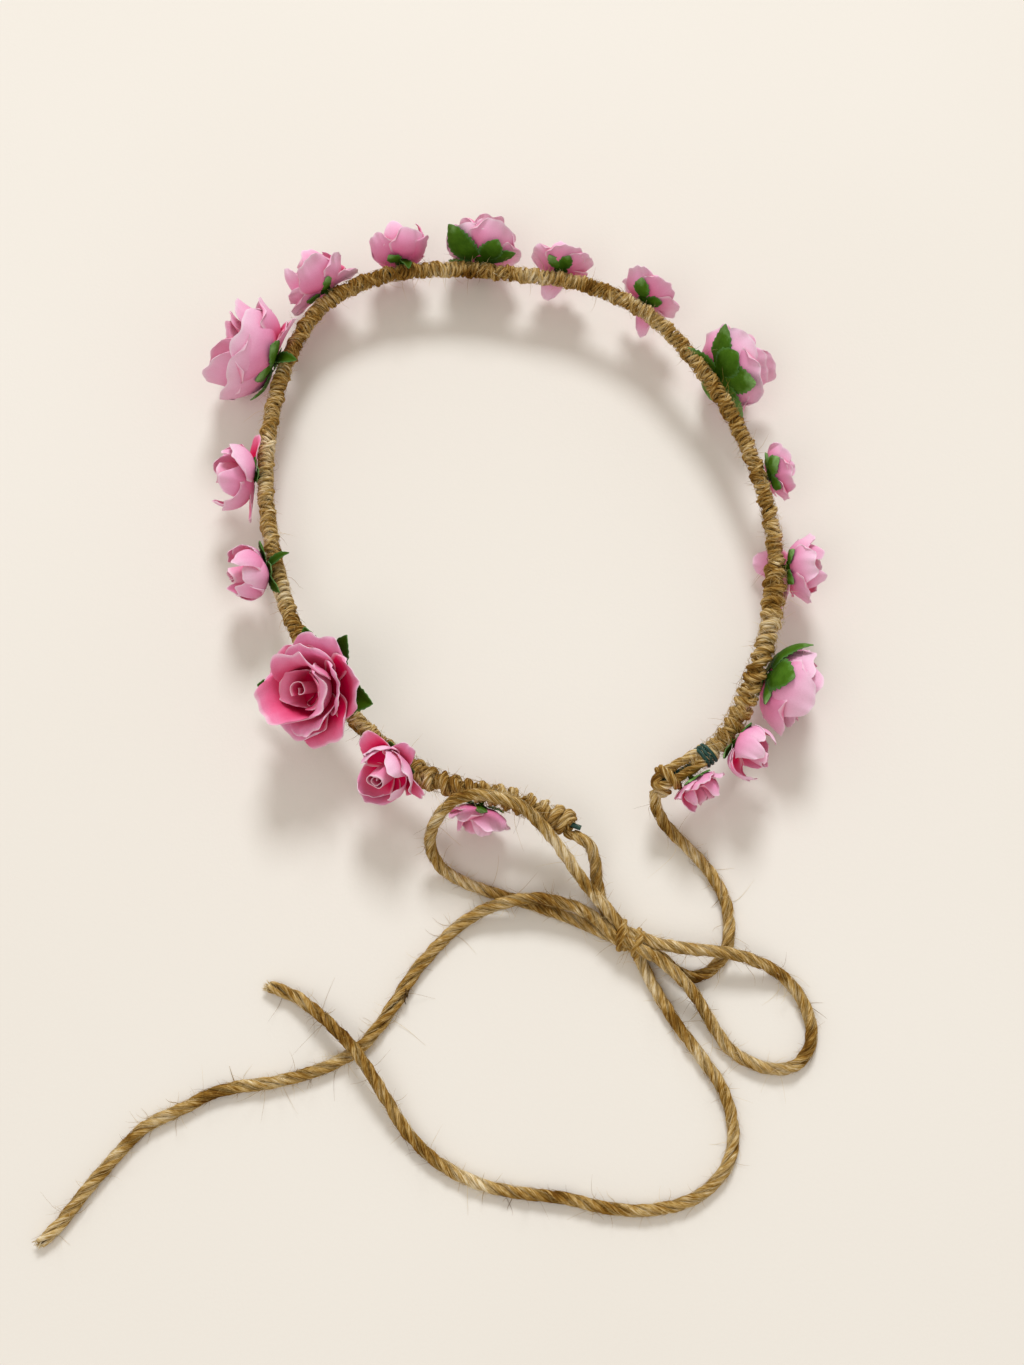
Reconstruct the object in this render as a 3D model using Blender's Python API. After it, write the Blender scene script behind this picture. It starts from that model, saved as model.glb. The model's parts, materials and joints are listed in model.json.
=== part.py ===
"""Flower crown: an open wire hoop bound in jute twine, seventeen paper roses and a tied bow.

The hoop lies flat with +Z up and its front (the middle rose) towards +Y. The gap in the hoop is
at -Y, where two lengths of twine leave the hoop's ends and are tied in one bow. The origin is
the centre of the crown's footprint (hoop and roses, without the loose twine), on the surface
that it lies on. Lengths below are millimetres and angles are degrees; MM turns them into metres.
"""

import math

import bmesh
import bpy
import numpy as np
from mathutils import Matrix, Vector

MM = 0.001
GAP = 0.3
UP = Vector((0.0, 0.0, 1.0))

# Hoop: a paper-covered wire inside a tight winding of twine.
WIRE_RADIUS = 0.8
WIRE_TIP = 2.0
WRAP_RADIUS = 2.9
WRAP_BORE = WIRE_RADIUS + 0.4
BINDING_RADIUS = 4.3
BINDING_LENGTH = 5.0
BINDING_INSET = 0.6
HOOP_STATIONS = 64
HOOP_SIDES = 8
WIRE_SIDES = 6

# Loose twine of the bow, and the knot that it is tied in.
CORD_RADIUS = 1.75
CORD_STEP = 8.4
CORD_BEVEL_RESOLUTION = 2
KNOT_HALF_SIZE = (10.5, 5.2, 4.4)
KNOT_HEADING = -48.6
KNOT_RINGS = 9
KNOT_SIDES = 12

# Stem and leaves start this far from the hoop's centreline.
STEM_START = WRAP_RADIUS + 0.5
STEM_RADIUS = 0.75
# Gap between the leaves and the petals that they carry.
SEAT_GAP = 0.5

# Centreline of the hoop from its left end, round the front, to its right end.
HOOP_ROUTE = (
    (-12.6, -104.6, 14.0),
    (-30.1, -90.6, 14.0),
    (-50.1, -77.1, 14.0),
    (-64.1, -58.1, 14.0),
    (-73.1, -36.1, 14.0),
    (-77.6, -13.1, 14.0),
    (-77.1, 10.4, 14.5),
    (-73.6, 33.4, 15.0),
    (-66.1, 55.4, 15.0),
    (-54.6, 75.9, 15.0),
    (-38.6, 91.9, 15.0),
    (-17.1, 96.9, 15.0),
    (5.9, 92.9, 15.0),
    (27.4, 83.9, 15.5),
    (47.9, 72.4, 17.0),
    (63.9, 54.9, 18.0),
    (72.9, 33.4, 18.5),
    (77.9, 10.4, 18.5),
    (78.9, -12.6, 18.0),
    (75.9, -35.6, 17.5),
    (67.9, -57.6, 17.0),
    (54.4, -76.1, 16.5),
    (38.4, -92.6, 15.5),
    (15.9, -99.6, 14.0),
)

# Loose twine: hand-chosen points of each visible stretch.
KNOT_CENTRE = (-6.6, -140.7, 4.45)
CORD_ROUTES = {
    "left_tie": (
        (-13.7, -106.8, 12.3),
        (-10.2, -110.5, 12.0),
        (-9.4, -115.3, 8.5),
        (-10.4, -120.7, 5.5),
        (-10.8, -126.4, 4.0),
        (-10.3, -130.9, 3.2),
    ),
    "left_loop": (
        (-10.7, -130.2, 8.6),
        (-13.4, -124.8, 9.8),
        (-16.1, -118.1, 12.0),
        (-18.9, -110.6, 15.0),
        (-21.9, -104.0, 18.0),
        (-26.6, -96.5, 21.5),
        (-32.5, -92.2, 23.0),
        (-38.4, -89.1, 23.0),
        (-45.5, -88.4, 21.5),
        (-52.1, -91.2, 17.0),
        (-55.9, -95.9, 10.0),
        (-54.8, -102.2, 4.2),
        (-49.6, -108.2, 2.2),
        (-43.7, -112.9, 1.8),
        (-37.1, -117.5, 1.8),
        (-29.1, -122.9, 1.8),
        (-21.4, -128.8, 1.8),
        (-14.9, -134.4, 2.2),
    ),
    "left_tail": (
        (-13.3, -133.8, 5.6),
        (-16.4, -129.4, 6.0),
        (-22.5, -124.7, 6.4),
        (-30.2, -120.8, 6.4),
        (-38.6, -119.3, 5.6),
        (-47.2, -119.4, 3.6),
        (-55.9, -121.9, 2.0),
        (-63.4, -125.9, 1.8),
        (-71.1, -130.9, 1.8),
        (-78.6, -137.5, 1.8),
        (-85.5, -143.2, 1.8),
        (-93.7, -148.2, 1.8),
        (-104.2, -150.5, 1.8),
        (-119.8, -150.3, 1.8),
        (-130.9, -148.5, 1.8),
        (-138.7, -148.2, 1.8),
        (-146.6, -149.7, 1.8),
        (-158.9, -151.7, 1.8),
        (-165.3, -154.9, 1.8),
        (-171.9, -159.1, 1.8),
        (-178.9, -163.7, 1.8),
        (-185.3, -168.5, 1.8),
        (-190.5, -172.2, 1.8),
        (-195.8, -174.9, 1.8),
    ),
    "right_tie": (
        (14.2, -101.3, 13.2),
        (13.4, -105.2, 11.0),
        (14.7, -110.0, 7.0),
        (17.8, -115.0, 3.6),
        (20.8, -120.1, 2.0),
        (23.4, -125.8, 1.8),
        (25.0, -131.6, 1.8),
        (25.6, -137.3, 1.8),
        (24.9, -142.9, 1.8),
        (23.1, -147.9, 1.8),
        (20.8, -152.0, 1.8),
        (16.8, -155.3, 1.8),
        (12.7, -156.9, 1.8),
        (8.5, -156.9, 1.8),
        (5.2, -154.6, 1.8),
        (2.8, -151.3, 1.8),
        (0.9, -148.3, 2.2),
    ),
    "right_loop": (
        (0.6, -144.6, 6.2),
        (4.8, -146.9, 6.6),
        (10.2, -149.6, 6.8),
        (16.6, -152.2, 6.8),
        (22.9, -155.3, 6.4),
        (28.2, -158.8, 5.0),
        (33.0, -163.0, 3.0),
        (36.5, -168.9, 1.8),
        (37.9, -175.6, 1.8),
        (37.3, -182.3, 1.8),
        (34.1, -187.8, 1.8),
        (28.6, -190.8, 1.8),
        (22.6, -189.9, 1.8),
        (16.5, -185.9, 1.8),
        (12.3, -180.9, 1.8),
        (9.6, -173.0, 2.4),
        (7.7, -165.3, 4.2),
        (5.1, -158.3, 6.0),
        (1.9, -152.7, 6.6),
        (-0.8, -148.7, 6.6),
    ),
    "right_tail": (
        (-5.1, -146.9, 3.0),
        (-4.3, -152.4, 2.2),
        (-2.9, -159.7, 1.8),
        (-0.3, -169.9, 1.8),
        (3.3, -180.6, 1.8),
        (6.0, -190.0, 1.8),
        (6.0, -199.7, 1.8),
        (2.9, -208.7, 1.8),
        (-3.6, -215.0, 1.8),
        (-13.1, -218.3, 1.8),
        (-25.6, -217.4, 1.8),
        (-37.0, -213.3, 1.8),
        (-47.8, -207.1, 1.8),
        (-59.3, -202.1, 1.8),
        (-70.2, -196.1, 1.8),
        (-80.1, -186.6, 2.0),
        (-86.2, -176.2, 2.8),
        (-89.3, -166.1, 4.6),
        (-91.7, -157.4, 5.6),
        (-94.7, -148.5, 5.8),
        (-98.3, -141.5, 5.4),
        (-102.2, -134.8, 4.2),
        (-107.6, -127.5, 2.4),
        (-114.3, -122.2, 1.8),
    ),
}

LARGE = "large"
SMALL = "small"
ON_SURFACE = None

# Roses from the left end of the hoop to the right end: number, kind, share of the hoop's
# length, lift of the head above the horizontal (ON_SURFACE: it nods until a petal touches the
# surface), radius over the petals, height from the hoop's centreline, turn about its own axis.
ROSES = (
    (1, SMALL, 0.055, ON_SURFACE, 11.2, 16.2, 20.0),
    (2, SMALL, 0.107, 36.0, 11.6, 16.0, 0.0),
    (3, LARGE, 0.168, 54.0, 18.6, 22.0, 10.0),
    (4, SMALL, 0.249, 16.0, 10.0, 16.0, 40.0),
    (5, SMALL, 0.310, 16.0, 13.4, 16.5, 10.0),
    (6, LARGE, 0.388, ON_SURFACE, 18.4, 23.5, 48.0),
    (7, SMALL, 0.443, 12.0, 13.2, 16.8, 0.0),
    (8, SMALL, 0.492, 4.0, 11.2, 16.2, 50.0),
    (9, LARGE, 0.540, ON_SURFACE, 14.4, 20.0, 0.0),
    (10, SMALL, 0.590, -4.0, 11.8, 15.4, 30.0),
    (11, SMALL, 0.644, -12.0, 12.0, 14.5, 15.0),
    (12, LARGE, 0.710, ON_SURFACE, 15.6, 21.5, 25.0),
    (13, SMALL, 0.782, -6.0, 10.6, 14.8, 0.0),
    (14, SMALL, 0.841, -8.0, 11.6, 15.0, 35.0),
    (15, LARGE, 0.908, ON_SURFACE, 14.6, 19.5, 5.0),
    (16, SMALL, 0.952, 12.0, 8.8, 15.8, 20.0),
    (17, SMALL, 0.982, -6.0, 9.4, 15.6, 45.0),
)

PETAL_COLOUR = (0.66, 0.21, 0.38)
INNER_PETAL_COLOUR = (0.60, 0.13, 0.30)
BUD_COLOUR = (0.50, 0.04, 0.17)
LEAF_COLOUR = (0.05, 0.16, 0.03)
WIRE_COLOUR = (0.02, 0.07, 0.04)
TWINE_COLOUR = (0.36, 0.22, 0.08)
CORD_COLOUR = (0.42, 0.27, 0.11)


def clear_scene():
    for obj in list(bpy.data.objects):
        bpy.data.objects.remove(obj, do_unlink=True)


def make_material(name, colour, roughness):
    material = bpy.data.materials.new(name)
    material.use_nodes = True
    shader = material.node_tree.nodes["Principled BSDF"]
    shader.inputs["Base Color"].default_value = (*colour, 1.0)
    shader.inputs["Roughness"].default_value = roughness
    shader.inputs["Metallic"].default_value = 0.0
    return material


def add_object(name, data, material, parent=None):
    """Links a mesh or curve to the scene as one named part."""
    data.materials.append(material)
    obj = bpy.data.objects.new(name, data)
    bpy.context.scene.collection.objects.link(obj)
    obj.parent = parent
    return obj


def smooth_curve(route, step):
    """Evenly spaced points, step apart, on a smooth curve through the route's points."""
    points = [Vector(p) for p in route]
    points = [2 * points[0] - points[1], *points, 2 * points[-1] - points[-2]]
    fine = []
    for before, start, end, after in zip(points, points[1:], points[2:], points[3:]):
        for k in range(24):
            fine.append(hermite(before, start, end, after, k / 24))
    fine.append(points[-2])
    return evenly_spaced(fine, step)


def evenly_spaced(points, step):
    """The same line read again at points about step apart."""
    lengths = [0.0]
    for a, b in zip(points, points[1:]):
        lengths.append(lengths[-1] + (b - a).length)
    count = max(2, round(lengths[-1] / step))
    even = np.linspace(0.0, lengths[-1], count + 1)
    columns = [np.interp(even, lengths, [p[axis] for p in points]) for axis in range(3)]
    return [Vector(p) for p in zip(*columns)]


def hermite(before, start, end, after, share):
    """Point at a share of the span start to end, with slopes weighted by the spans' lengths."""
    d0 = math.sqrt((start - before).length)
    d1 = math.sqrt((end - start).length)
    d2 = math.sqrt((after - end).length)
    slope_a = (start - before) / d0 - (end - before) / (d0 + d1) + (end - start) / d1
    slope_b = (end - start) / d1 - (after - start) / (d1 + d2) + (after - end) / d2
    slope_a *= d1
    slope_b *= d1
    s2 = share * share
    s3 = s2 * share
    return (
        (2 * s3 - 3 * s2 + 1) * start
        + (s3 - 2 * s2 + share) * slope_a
        + (3 * s2 - 2 * s3) * end
        + (s3 - s2) * slope_b
    )


class Hoop:
    """The hoop's centreline, read by distance from its left end."""

    def __init__(self, route):
        self.points = smooth_curve(route, 1.0)
        self.spacing = (self.points[1] - self.points[0]).length
        self.length = self.spacing * (len(self.points) - 1)

    def at(self, distance):
        place = min(max(distance / self.spacing, 0.0), len(self.points) - 1.001)
        first = int(place)
        return self.points[first].lerp(self.points[first + 1], place - first)

    def tangent(self, distance):
        reach = 3.0
        low = max(distance - reach, 0.0)
        high = min(distance + reach, self.length)
        return (self.at(high) - self.at(low)).normalized()

    def outward(self, distance):
        """Horizontal direction away from the middle of the hoop, square to the hoop."""
        return self.tangent(distance).cross(-UP).normalized()

    def ring(self, distance, radius, sides, beyond=0.0):
        """Circle of points round the centreline, pushed on past the hoop's end by beyond."""
        tangent = self.tangent(distance)
        out = self.outward(distance)
        rise = tangent.cross(out).normalized()
        centre = self.at(distance) + tangent * beyond
        return [
            centre + radius * (math.cos(a) * out + math.sin(a) * rise)
            for a in (2 * math.pi * k / sides for k in range(sides))
        ]


def bridge(bm, loop, following):
    """Quads from one closed loop of vertices to the next."""
    count = len(loop)
    for k in range(count):
        after = (k + 1) % count
        bm.faces.new((loop[k], loop[after], following[after], following[k]))


def finish_mesh(bm, name):
    bmesh.ops.recalc_face_normals(bm, faces=bm.faces)
    mesh = bpy.data.meshes.new(name)
    bm.to_mesh(mesh)
    bm.free()
    mesh.shade_smooth()
    mesh.set_sharp_from_angle(angle=math.radians(50))
    return mesh


def loops_from_rings(bm, rings):
    return [[bm.verts.new(point * MM) for point in ring] for ring in rings]


def sleeve_mesh(name, outer_rings, inner_rings):
    """Open-ended tube: an outer skin, a bore and a flat annulus at each end."""
    bm = bmesh.new()
    outer = loops_from_rings(bm, outer_rings)
    inner = loops_from_rings(bm, inner_rings)
    for loop, following in zip(outer, outer[1:]):
        bridge(bm, loop, following)
    for loop, following in zip(inner, inner[1:]):
        bridge(bm, following, loop)
    bridge(bm, inner[0], outer[0])
    bridge(bm, outer[-1], inner[-1])
    return finish_mesh(bm, name)


def rod_mesh(name, rings):
    """Solid rod with flat ends."""
    bm = bmesh.new()
    loops = loops_from_rings(bm, rings)
    for loop, following in zip(loops, loops[1:]):
        bridge(bm, loop, following)
    bm.faces.new(loops[0])
    bm.faces.new(loops[-1])
    return finish_mesh(bm, name)


def build_hoop(hoop, materials):
    """Core wire, its twine winding and the bound lump at each end."""
    stations = [hoop.length * k / HOOP_STATIONS for k in range(HOOP_STATIONS + 1)]
    wire_rings = [hoop.ring(s, WIRE_RADIUS, WIRE_SIDES) for s in stations]
    wire_rings[0] = hoop.ring(0.0, WIRE_RADIUS, WIRE_SIDES, beyond=-WIRE_TIP)
    wire_rings[-1] = hoop.ring(hoop.length, WIRE_RADIUS, WIRE_SIDES, beyond=WIRE_TIP)
    add_object("core_wire", rod_mesh("core_wire", wire_rings), materials["wire"])

    outer = [hoop.ring(s, WRAP_RADIUS, HOOP_SIDES) for s in stations]
    bore = [hoop.ring(s, WRAP_BORE, HOOP_SIDES) for s in stations]
    wrap = sleeve_mesh("twine_wrap", outer, bore)
    add_object("twine_wrap", wrap, materials["twine"])

    last = hoop.length - BINDING_INSET - BINDING_LENGTH
    for name, start in (("left_binding", BINDING_INSET), ("right_binding", last)):
        swell = (0.82, 1.0, 1.0, 0.82)
        spots = [start + BINDING_LENGTH * share for share in (0.0, 0.28, 0.72, 1.0)]
        skin = [
            hoop.ring(s, BINDING_RADIUS * size, 12) for s, size in zip(spots, swell)
        ]
        bore = [hoop.ring(s, WRAP_RADIUS + GAP, 12) for s in spots]
        add_object(name, sleeve_mesh(name, skin, bore), materials["twine"])


def knot_placement():
    turn = Matrix.Rotation(math.radians(KNOT_HEADING), 4, "Z")
    return Matrix.Translation(Vector(KNOT_CENTRE) * MM) @ turn


def build_knot(materials):
    """The knot as one rounded lump, a little flattened where it rests."""
    bm = bmesh.new()
    half_x, half_y, half_z = KNOT_HALF_SIZE
    rings = []
    for ring in range(1, KNOT_RINGS):
        along = math.pi * ring / KNOT_RINGS
        rings.append(
            [
                Vector(
                    (
                        -half_x * math.cos(along),
                        half_y * math.sin(along) * math.cos(2 * math.pi * k / KNOT_SIDES),
                        half_z * math.sin(along) * math.sin(2 * math.pi * k / KNOT_SIDES),
                    )
                )
                for k in range(KNOT_SIDES)
            ]
        )
    loops = loops_from_rings(bm, rings)
    for loop, following in zip(loops, loops[1:]):
        bridge(bm, loop, following)
    for loop, end in ((loops[0], -half_x), (loops[-1], half_x)):
        tip = bm.verts.new((end * MM, 0.0, 0.0))
        for k in range(KNOT_SIDES):
            bm.faces.new((loop[k], loop[(k + 1) % KNOT_SIDES], tip))
    knot = add_object("bow_knot", finish_mesh(bm, "bow_knot"), materials["cord"])
    knot.matrix_world = knot_placement()


def clears_knot(point, direction):
    """True where the end face of a cord at this point stays GAP outside the knot."""
    into_knot = knot_placement().inverted()
    side = direction.cross(UP).normalized()
    rise = side.cross(direction)
    for angle in (0, 45, 90, 135, 180, 225, 270, 315):
        spoke = math.cos(math.radians(angle)) * side + math.sin(math.radians(angle)) * rise
        edge = into_knot @ ((point + CORD_RADIUS * spoke) * MM) / MM
        inside = sum(
            (edge[axis] / (KNOT_HALF_SIZE[axis] + GAP)) ** 2 for axis in range(3)
        )
        if inside < 1.0:
            return False
    return True


def trim_at_knot(points):
    """Takes off the ends of a cord's centreline that run into the knot."""
    while not clears_knot(points[0], (points[1] - points[0]).normalized()):
        points = points[1:]
    while not clears_knot(points[-1], (points[-2] - points[-1]).normalized()):
        points = points[:-1]
    return points


def build_cord(name, route, material):
    """One stretch of loose twine: a round tube along a smooth curve."""
    points = evenly_spaced(trim_at_knot(smooth_curve(route, 0.25)), CORD_STEP)
    curve = bpy.data.curves.new(name, "CURVE")
    curve.dimensions = "3D"
    curve.bevel_depth = CORD_RADIUS * MM
    curve.bevel_resolution = CORD_BEVEL_RESOLUTION
    curve.use_fill_caps = True
    spline = curve.splines.new("POLY")
    spline.points.add(len(points) - 1)
    for spot, point in zip(spline.points, points):
        spot.co = (*(point * MM), 1.0)
    add_object(name, curve, material)


def lobed_mesh(name, profile, lobes, steps, sharpness, twist=0.0):
    """Closed body turned round Z whose outline swells into lobes.

    Each entry of the profile is (radius in a notch, radius at a lobe, height in a notch,
    height at a lobe). The first and last entries are the two poles.
    """
    bm = bmesh.new()
    count = lobes * steps
    rings = []
    for number, (notch_r, lobe_r, notch_z, lobe_z) in enumerate(profile[1:-1]):
        ring = []
        for k in range(count):
            fullness = abs(math.sin(math.pi * k / steps)) ** sharpness
            radius = notch_r + (lobe_r - notch_r) * fullness
            height = notch_z + (lobe_z - notch_z) * fullness
            angle = 2 * math.pi * k / count + math.radians(twist) * number
            ring.append(Vector((radius * math.cos(angle), radius * math.sin(angle), height)))
        rings.append(ring)
    loops = loops_from_rings(bm, rings)
    for loop, following in zip(loops, loops[1:]):
        bridge(bm, loop, following)
    for loop, height in ((loops[0], profile[0][2]), (loops[-1], profile[-1][2])):
        pole = bm.verts.new((0.0, 0.0, height * MM))
        for k in range(count):
            bm.faces.new((loop[k], loop[(k + 1) % count], pole))
    return finish_mesh(bm, name)


def calyx_mesh(name, base, reach, rise, leaves, steps):
    """Wire stem end, green cup and a ring of pointed leaves under the petals."""
    cup = 0.3 * base
    profile = (
        (0.0, 0.0, STEM_START, STEM_START),
        (STEM_RADIUS, STEM_RADIUS, STEM_START, STEM_START),
        (STEM_RADIUS, STEM_RADIUS, base - cup, base - cup),
        (2.6, 3.0, base, base),
        (3.2, 0.6 * reach, base + 0.2, base + 0.35 * rise),
        (3.5, reach, base + 0.5, base + rise),
        (3.2, 0.6 * reach, base + 0.8, base + 0.35 * rise + 0.55),
        (2.0, 2.4, base + 0.7, base + 0.7),
        (0.0, 0.0, base + 0.6, base + 0.6),
    )
    return lobed_mesh(name, profile, leaves, steps, 1.6)


def large_rose_meshes(prefix, radius, height):
    """Calyx, two whorls of petals and a rolled bud, nested with a small gap."""
    base = STEM_START + 1.6
    floor = base + 0.6 + SEAT_GAP
    middle = floor + 0.45 * (height - floor)
    rim = floor + 0.62 * (height - floor)
    outer = (
        (0.0, 0.0, floor, floor),
        (3.0, 3.0, floor + 0.15, floor + 0.15),
        (0.42 * radius, 0.62 * radius, floor + 1.7, floor + 2.4),
        (0.66 * radius, radius, middle - 1.2, rim - 1.0),
        (0.62 * radius, radius - 0.9, middle - 0.6, rim),
        (0.36 * radius, 0.56 * radius, floor + 2.6, floor + 3.4),
        (2.6, 2.6, floor + 1.0, floor + 1.0),
        (0.0, 0.0, floor + 0.9, floor + 0.9),
    )
    seat = floor + 0.9 + GAP
    inner = (
        (0.0, 0.0, seat, seat),
        (2.2, 2.2, seat + 0.2, seat + 0.2),
        (0.28 * radius, 0.42 * radius, seat + 2.4, seat + 3.6),
        (0.36 * radius, 0.62 * radius, rim - 0.6, height - 3.2),
        (0.32 * radius, 0.57 * radius, rim - 0.2, height - 2.7),
        (0.24 * radius, 0.36 * radius, seat + 3.4, seat + 4.4),
        (1.8, 1.8, seat + 1.2, seat + 1.2),
        (0.0, 0.0, seat + 1.1, seat + 1.1),
    )
    core = seat + 1.1 + GAP
    bud = (
        (0.0, 0.0, core, core),
        (1.5, 1.7, core + 0.3, core + 0.3),
        (0.17 * radius, 0.21 * radius, core + 3.2, core + 3.2),
        (0.17 * radius, 0.23 * radius, height - 3.4, height - 3.4),
        (0.09 * radius, 0.14 * radius, height - 0.7, height - 0.5),
        (0.0, 0.0, height, height),
    )
    return {
        "calyx": calyx_mesh(prefix + "_calyx", base, 0.86 * radius, 4.2, 5, 3),
        "outer_petals": lobed_mesh(prefix + "_outer_petals", outer, 5, 4, 0.45),
        "inner_petals": lobed_mesh(prefix + "_inner_petals", inner, 4, 4, 0.45, 4.0),
        "bud": lobed_mesh(prefix + "_bud", bud, 2, 4, 1.0, 20.0),
    }


def small_rose_meshes(prefix, radius, height):
    """Calyx, and a blossom whose petals stand round a closed bud."""
    base = STEM_START + 1.0
    floor = base + 0.6 + SEAT_GAP
    span = height - floor
    blossom = (
        (0.0, 0.0, floor, floor),
        (2.4, 2.4, floor + 0.15, floor + 0.15),
        (0.44 * radius, 0.62 * radius, floor + 0.16 * span, floor + 0.2 * span),
        (0.62 * radius, radius, floor + 0.36 * span, floor + 0.60 * span),
        (0.58 * radius, radius - 0.8, floor + 0.44 * span, floor + 0.68 * span),
        (0.46 * radius, 0.54 * radius, floor + 0.40 * span, floor + 0.44 * span),
        (0.42 * radius, 0.46 * radius, floor + 0.78 * span, floor + 0.80 * span),
        (0.20 * radius, 0.24 * radius, floor + 0.97 * span, floor + 0.97 * span),
        (0.0, 0.0, height, height),
    )
    return {
        "calyx": calyx_mesh(prefix + "_calyx", base, 0.72 * radius, 2.6, 4, 3),
        "blossom": lobed_mesh(prefix + "_blossom", blossom, 5, 3, 0.5),
    }


def head_directions(hoop, distance, lift):
    """Axes of a rose head: along the hoop, up across its face, and the way that it faces."""
    along = hoop.tangent(distance)
    out = hoop.outward(distance)
    rise = along.cross(out).normalized()
    facing = math.cos(math.radians(lift)) * out + math.sin(math.radians(lift)) * rise
    return along, facing.cross(along).normalized(), facing


def head_matrix(hoop, distance, lift, turn):
    """Places a rose: its origin on the hoop's centreline and its Z axis the way it faces."""
    along, across, facing = head_directions(hoop, distance, lift)
    axes = Matrix((along, across, facing)).transposed().to_4x4()
    spin = Matrix.Rotation(math.radians(turn), 4, "Z")
    return Matrix.Translation(hoop.at(distance) * MM) @ axes @ spin


def lift_on_surface(hoop, distance, turn, meshes):
    """Lift at which the lowest petal just touches the surface, found by halving."""
    points = [vertex.co.copy() for mesh in meshes for vertex in mesh.vertices]
    low, high = -40.0, 40.0
    for _ in range(40):
        lift = (low + high) / 2
        placement = head_matrix(hoop, distance, lift, turn)
        if min((placement @ point).z for point in points) > 0.0:
            high = lift
        else:
            low = lift
    return high


def build_rose(hoop, rose, materials):
    """One rose, parented to an empty on the axis that its stem bends about."""
    number, kind, share, lift, radius, height, turn = rose
    prefix = f"rose_{number:02d}"
    distance = share * hoop.length
    make = large_rose_meshes if kind == LARGE else small_rose_meshes
    meshes = make(prefix, radius, height)
    if lift is ON_SURFACE:
        lift = lift_on_surface(hoop, distance, turn, meshes.values())
    pivot = bpy.data.objects.new(prefix + "_pivot", None)
    pivot.empty_display_size = 4 * MM
    bpy.context.scene.collection.objects.link(pivot)
    pivot.matrix_world = head_matrix(hoop, distance, lift, turn)
    for piece, mesh in meshes.items():
        add_object(f"{prefix}_{piece}", mesh, materials[piece], pivot)


def main():
    clear_scene()
    materials = {
        "wire": make_material("stem_wire", WIRE_COLOUR, 0.6),
        "twine": make_material("wrapped_twine", TWINE_COLOUR, 0.95),
        "cord": make_material("loose_twine", CORD_COLOUR, 0.95),
        "calyx": make_material("leaf_paper", LEAF_COLOUR, 0.85),
        "outer_petals": make_material("petal_paper", PETAL_COLOUR, 0.9),
        "inner_petals": make_material("inner_petal_paper", INNER_PETAL_COLOUR, 0.9),
        "bud": make_material("bud_paper", BUD_COLOUR, 0.9),
    }
    materials["blossom"] = materials["outer_petals"]
    hoop = Hoop(HOOP_ROUTE)
    build_hoop(hoop, materials)
    build_knot(materials)
    for name, route in CORD_ROUTES.items():
        build_cord(name, route, materials["cord"])
    for rose in ROSES:
        build_rose(hoop, rose, materials)
    bpy.context.view_layer.update()


main()
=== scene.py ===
import json
import math

import bpy
import numpy as np
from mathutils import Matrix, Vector


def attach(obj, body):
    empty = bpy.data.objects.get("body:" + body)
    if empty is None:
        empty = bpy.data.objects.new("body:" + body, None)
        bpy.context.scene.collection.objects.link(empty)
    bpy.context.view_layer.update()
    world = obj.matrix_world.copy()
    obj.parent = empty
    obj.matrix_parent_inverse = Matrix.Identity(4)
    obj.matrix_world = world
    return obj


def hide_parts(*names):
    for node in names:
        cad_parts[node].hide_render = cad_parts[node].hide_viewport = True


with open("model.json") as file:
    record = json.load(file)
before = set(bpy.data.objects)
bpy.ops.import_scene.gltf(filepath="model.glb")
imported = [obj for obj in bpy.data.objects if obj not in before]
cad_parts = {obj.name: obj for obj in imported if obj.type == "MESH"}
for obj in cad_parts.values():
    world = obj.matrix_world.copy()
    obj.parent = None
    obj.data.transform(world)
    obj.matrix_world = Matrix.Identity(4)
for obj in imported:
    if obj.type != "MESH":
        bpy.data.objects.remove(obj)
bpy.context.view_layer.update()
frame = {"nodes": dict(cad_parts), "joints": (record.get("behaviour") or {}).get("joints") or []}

MM = 0.001
SEED = 4127
# Height at which twine lying on the surface is pressed flat.
RESTING = 0.0001

HOOP_ROUTE = (
    (-0.0126, -0.1046, 0.0140), (-0.0301, -0.0906, 0.0140), (-0.0501, -0.0771, 0.0140),
    (-0.0641, -0.0581, 0.0140), (-0.0731, -0.0361, 0.0140), (-0.0776, -0.0131, 0.0140),
    (-0.0771, 0.0104, 0.0145), (-0.0736, 0.0334, 0.0150), (-0.0661, 0.0554, 0.0150),
    (-0.0546, 0.0759, 0.0150), (-0.0386, 0.0919, 0.0150), (-0.0171, 0.0969, 0.0150),
    (0.0059, 0.0929, 0.0150), (0.0274, 0.0839, 0.0155), (0.0479, 0.0724, 0.0170),
    (0.0639, 0.0549, 0.0180), (0.0729, 0.0334, 0.0185), (0.0779, 0.0104, 0.0185),
    (0.0789, -0.0126, 0.0180), (0.0759, -0.0356, 0.0175), (0.0679, -0.0576, 0.0170),
    (0.0544, -0.0761, 0.0165), (0.0384, -0.0926, 0.0155), (0.0159, -0.0996, 0.0140),
)
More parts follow.
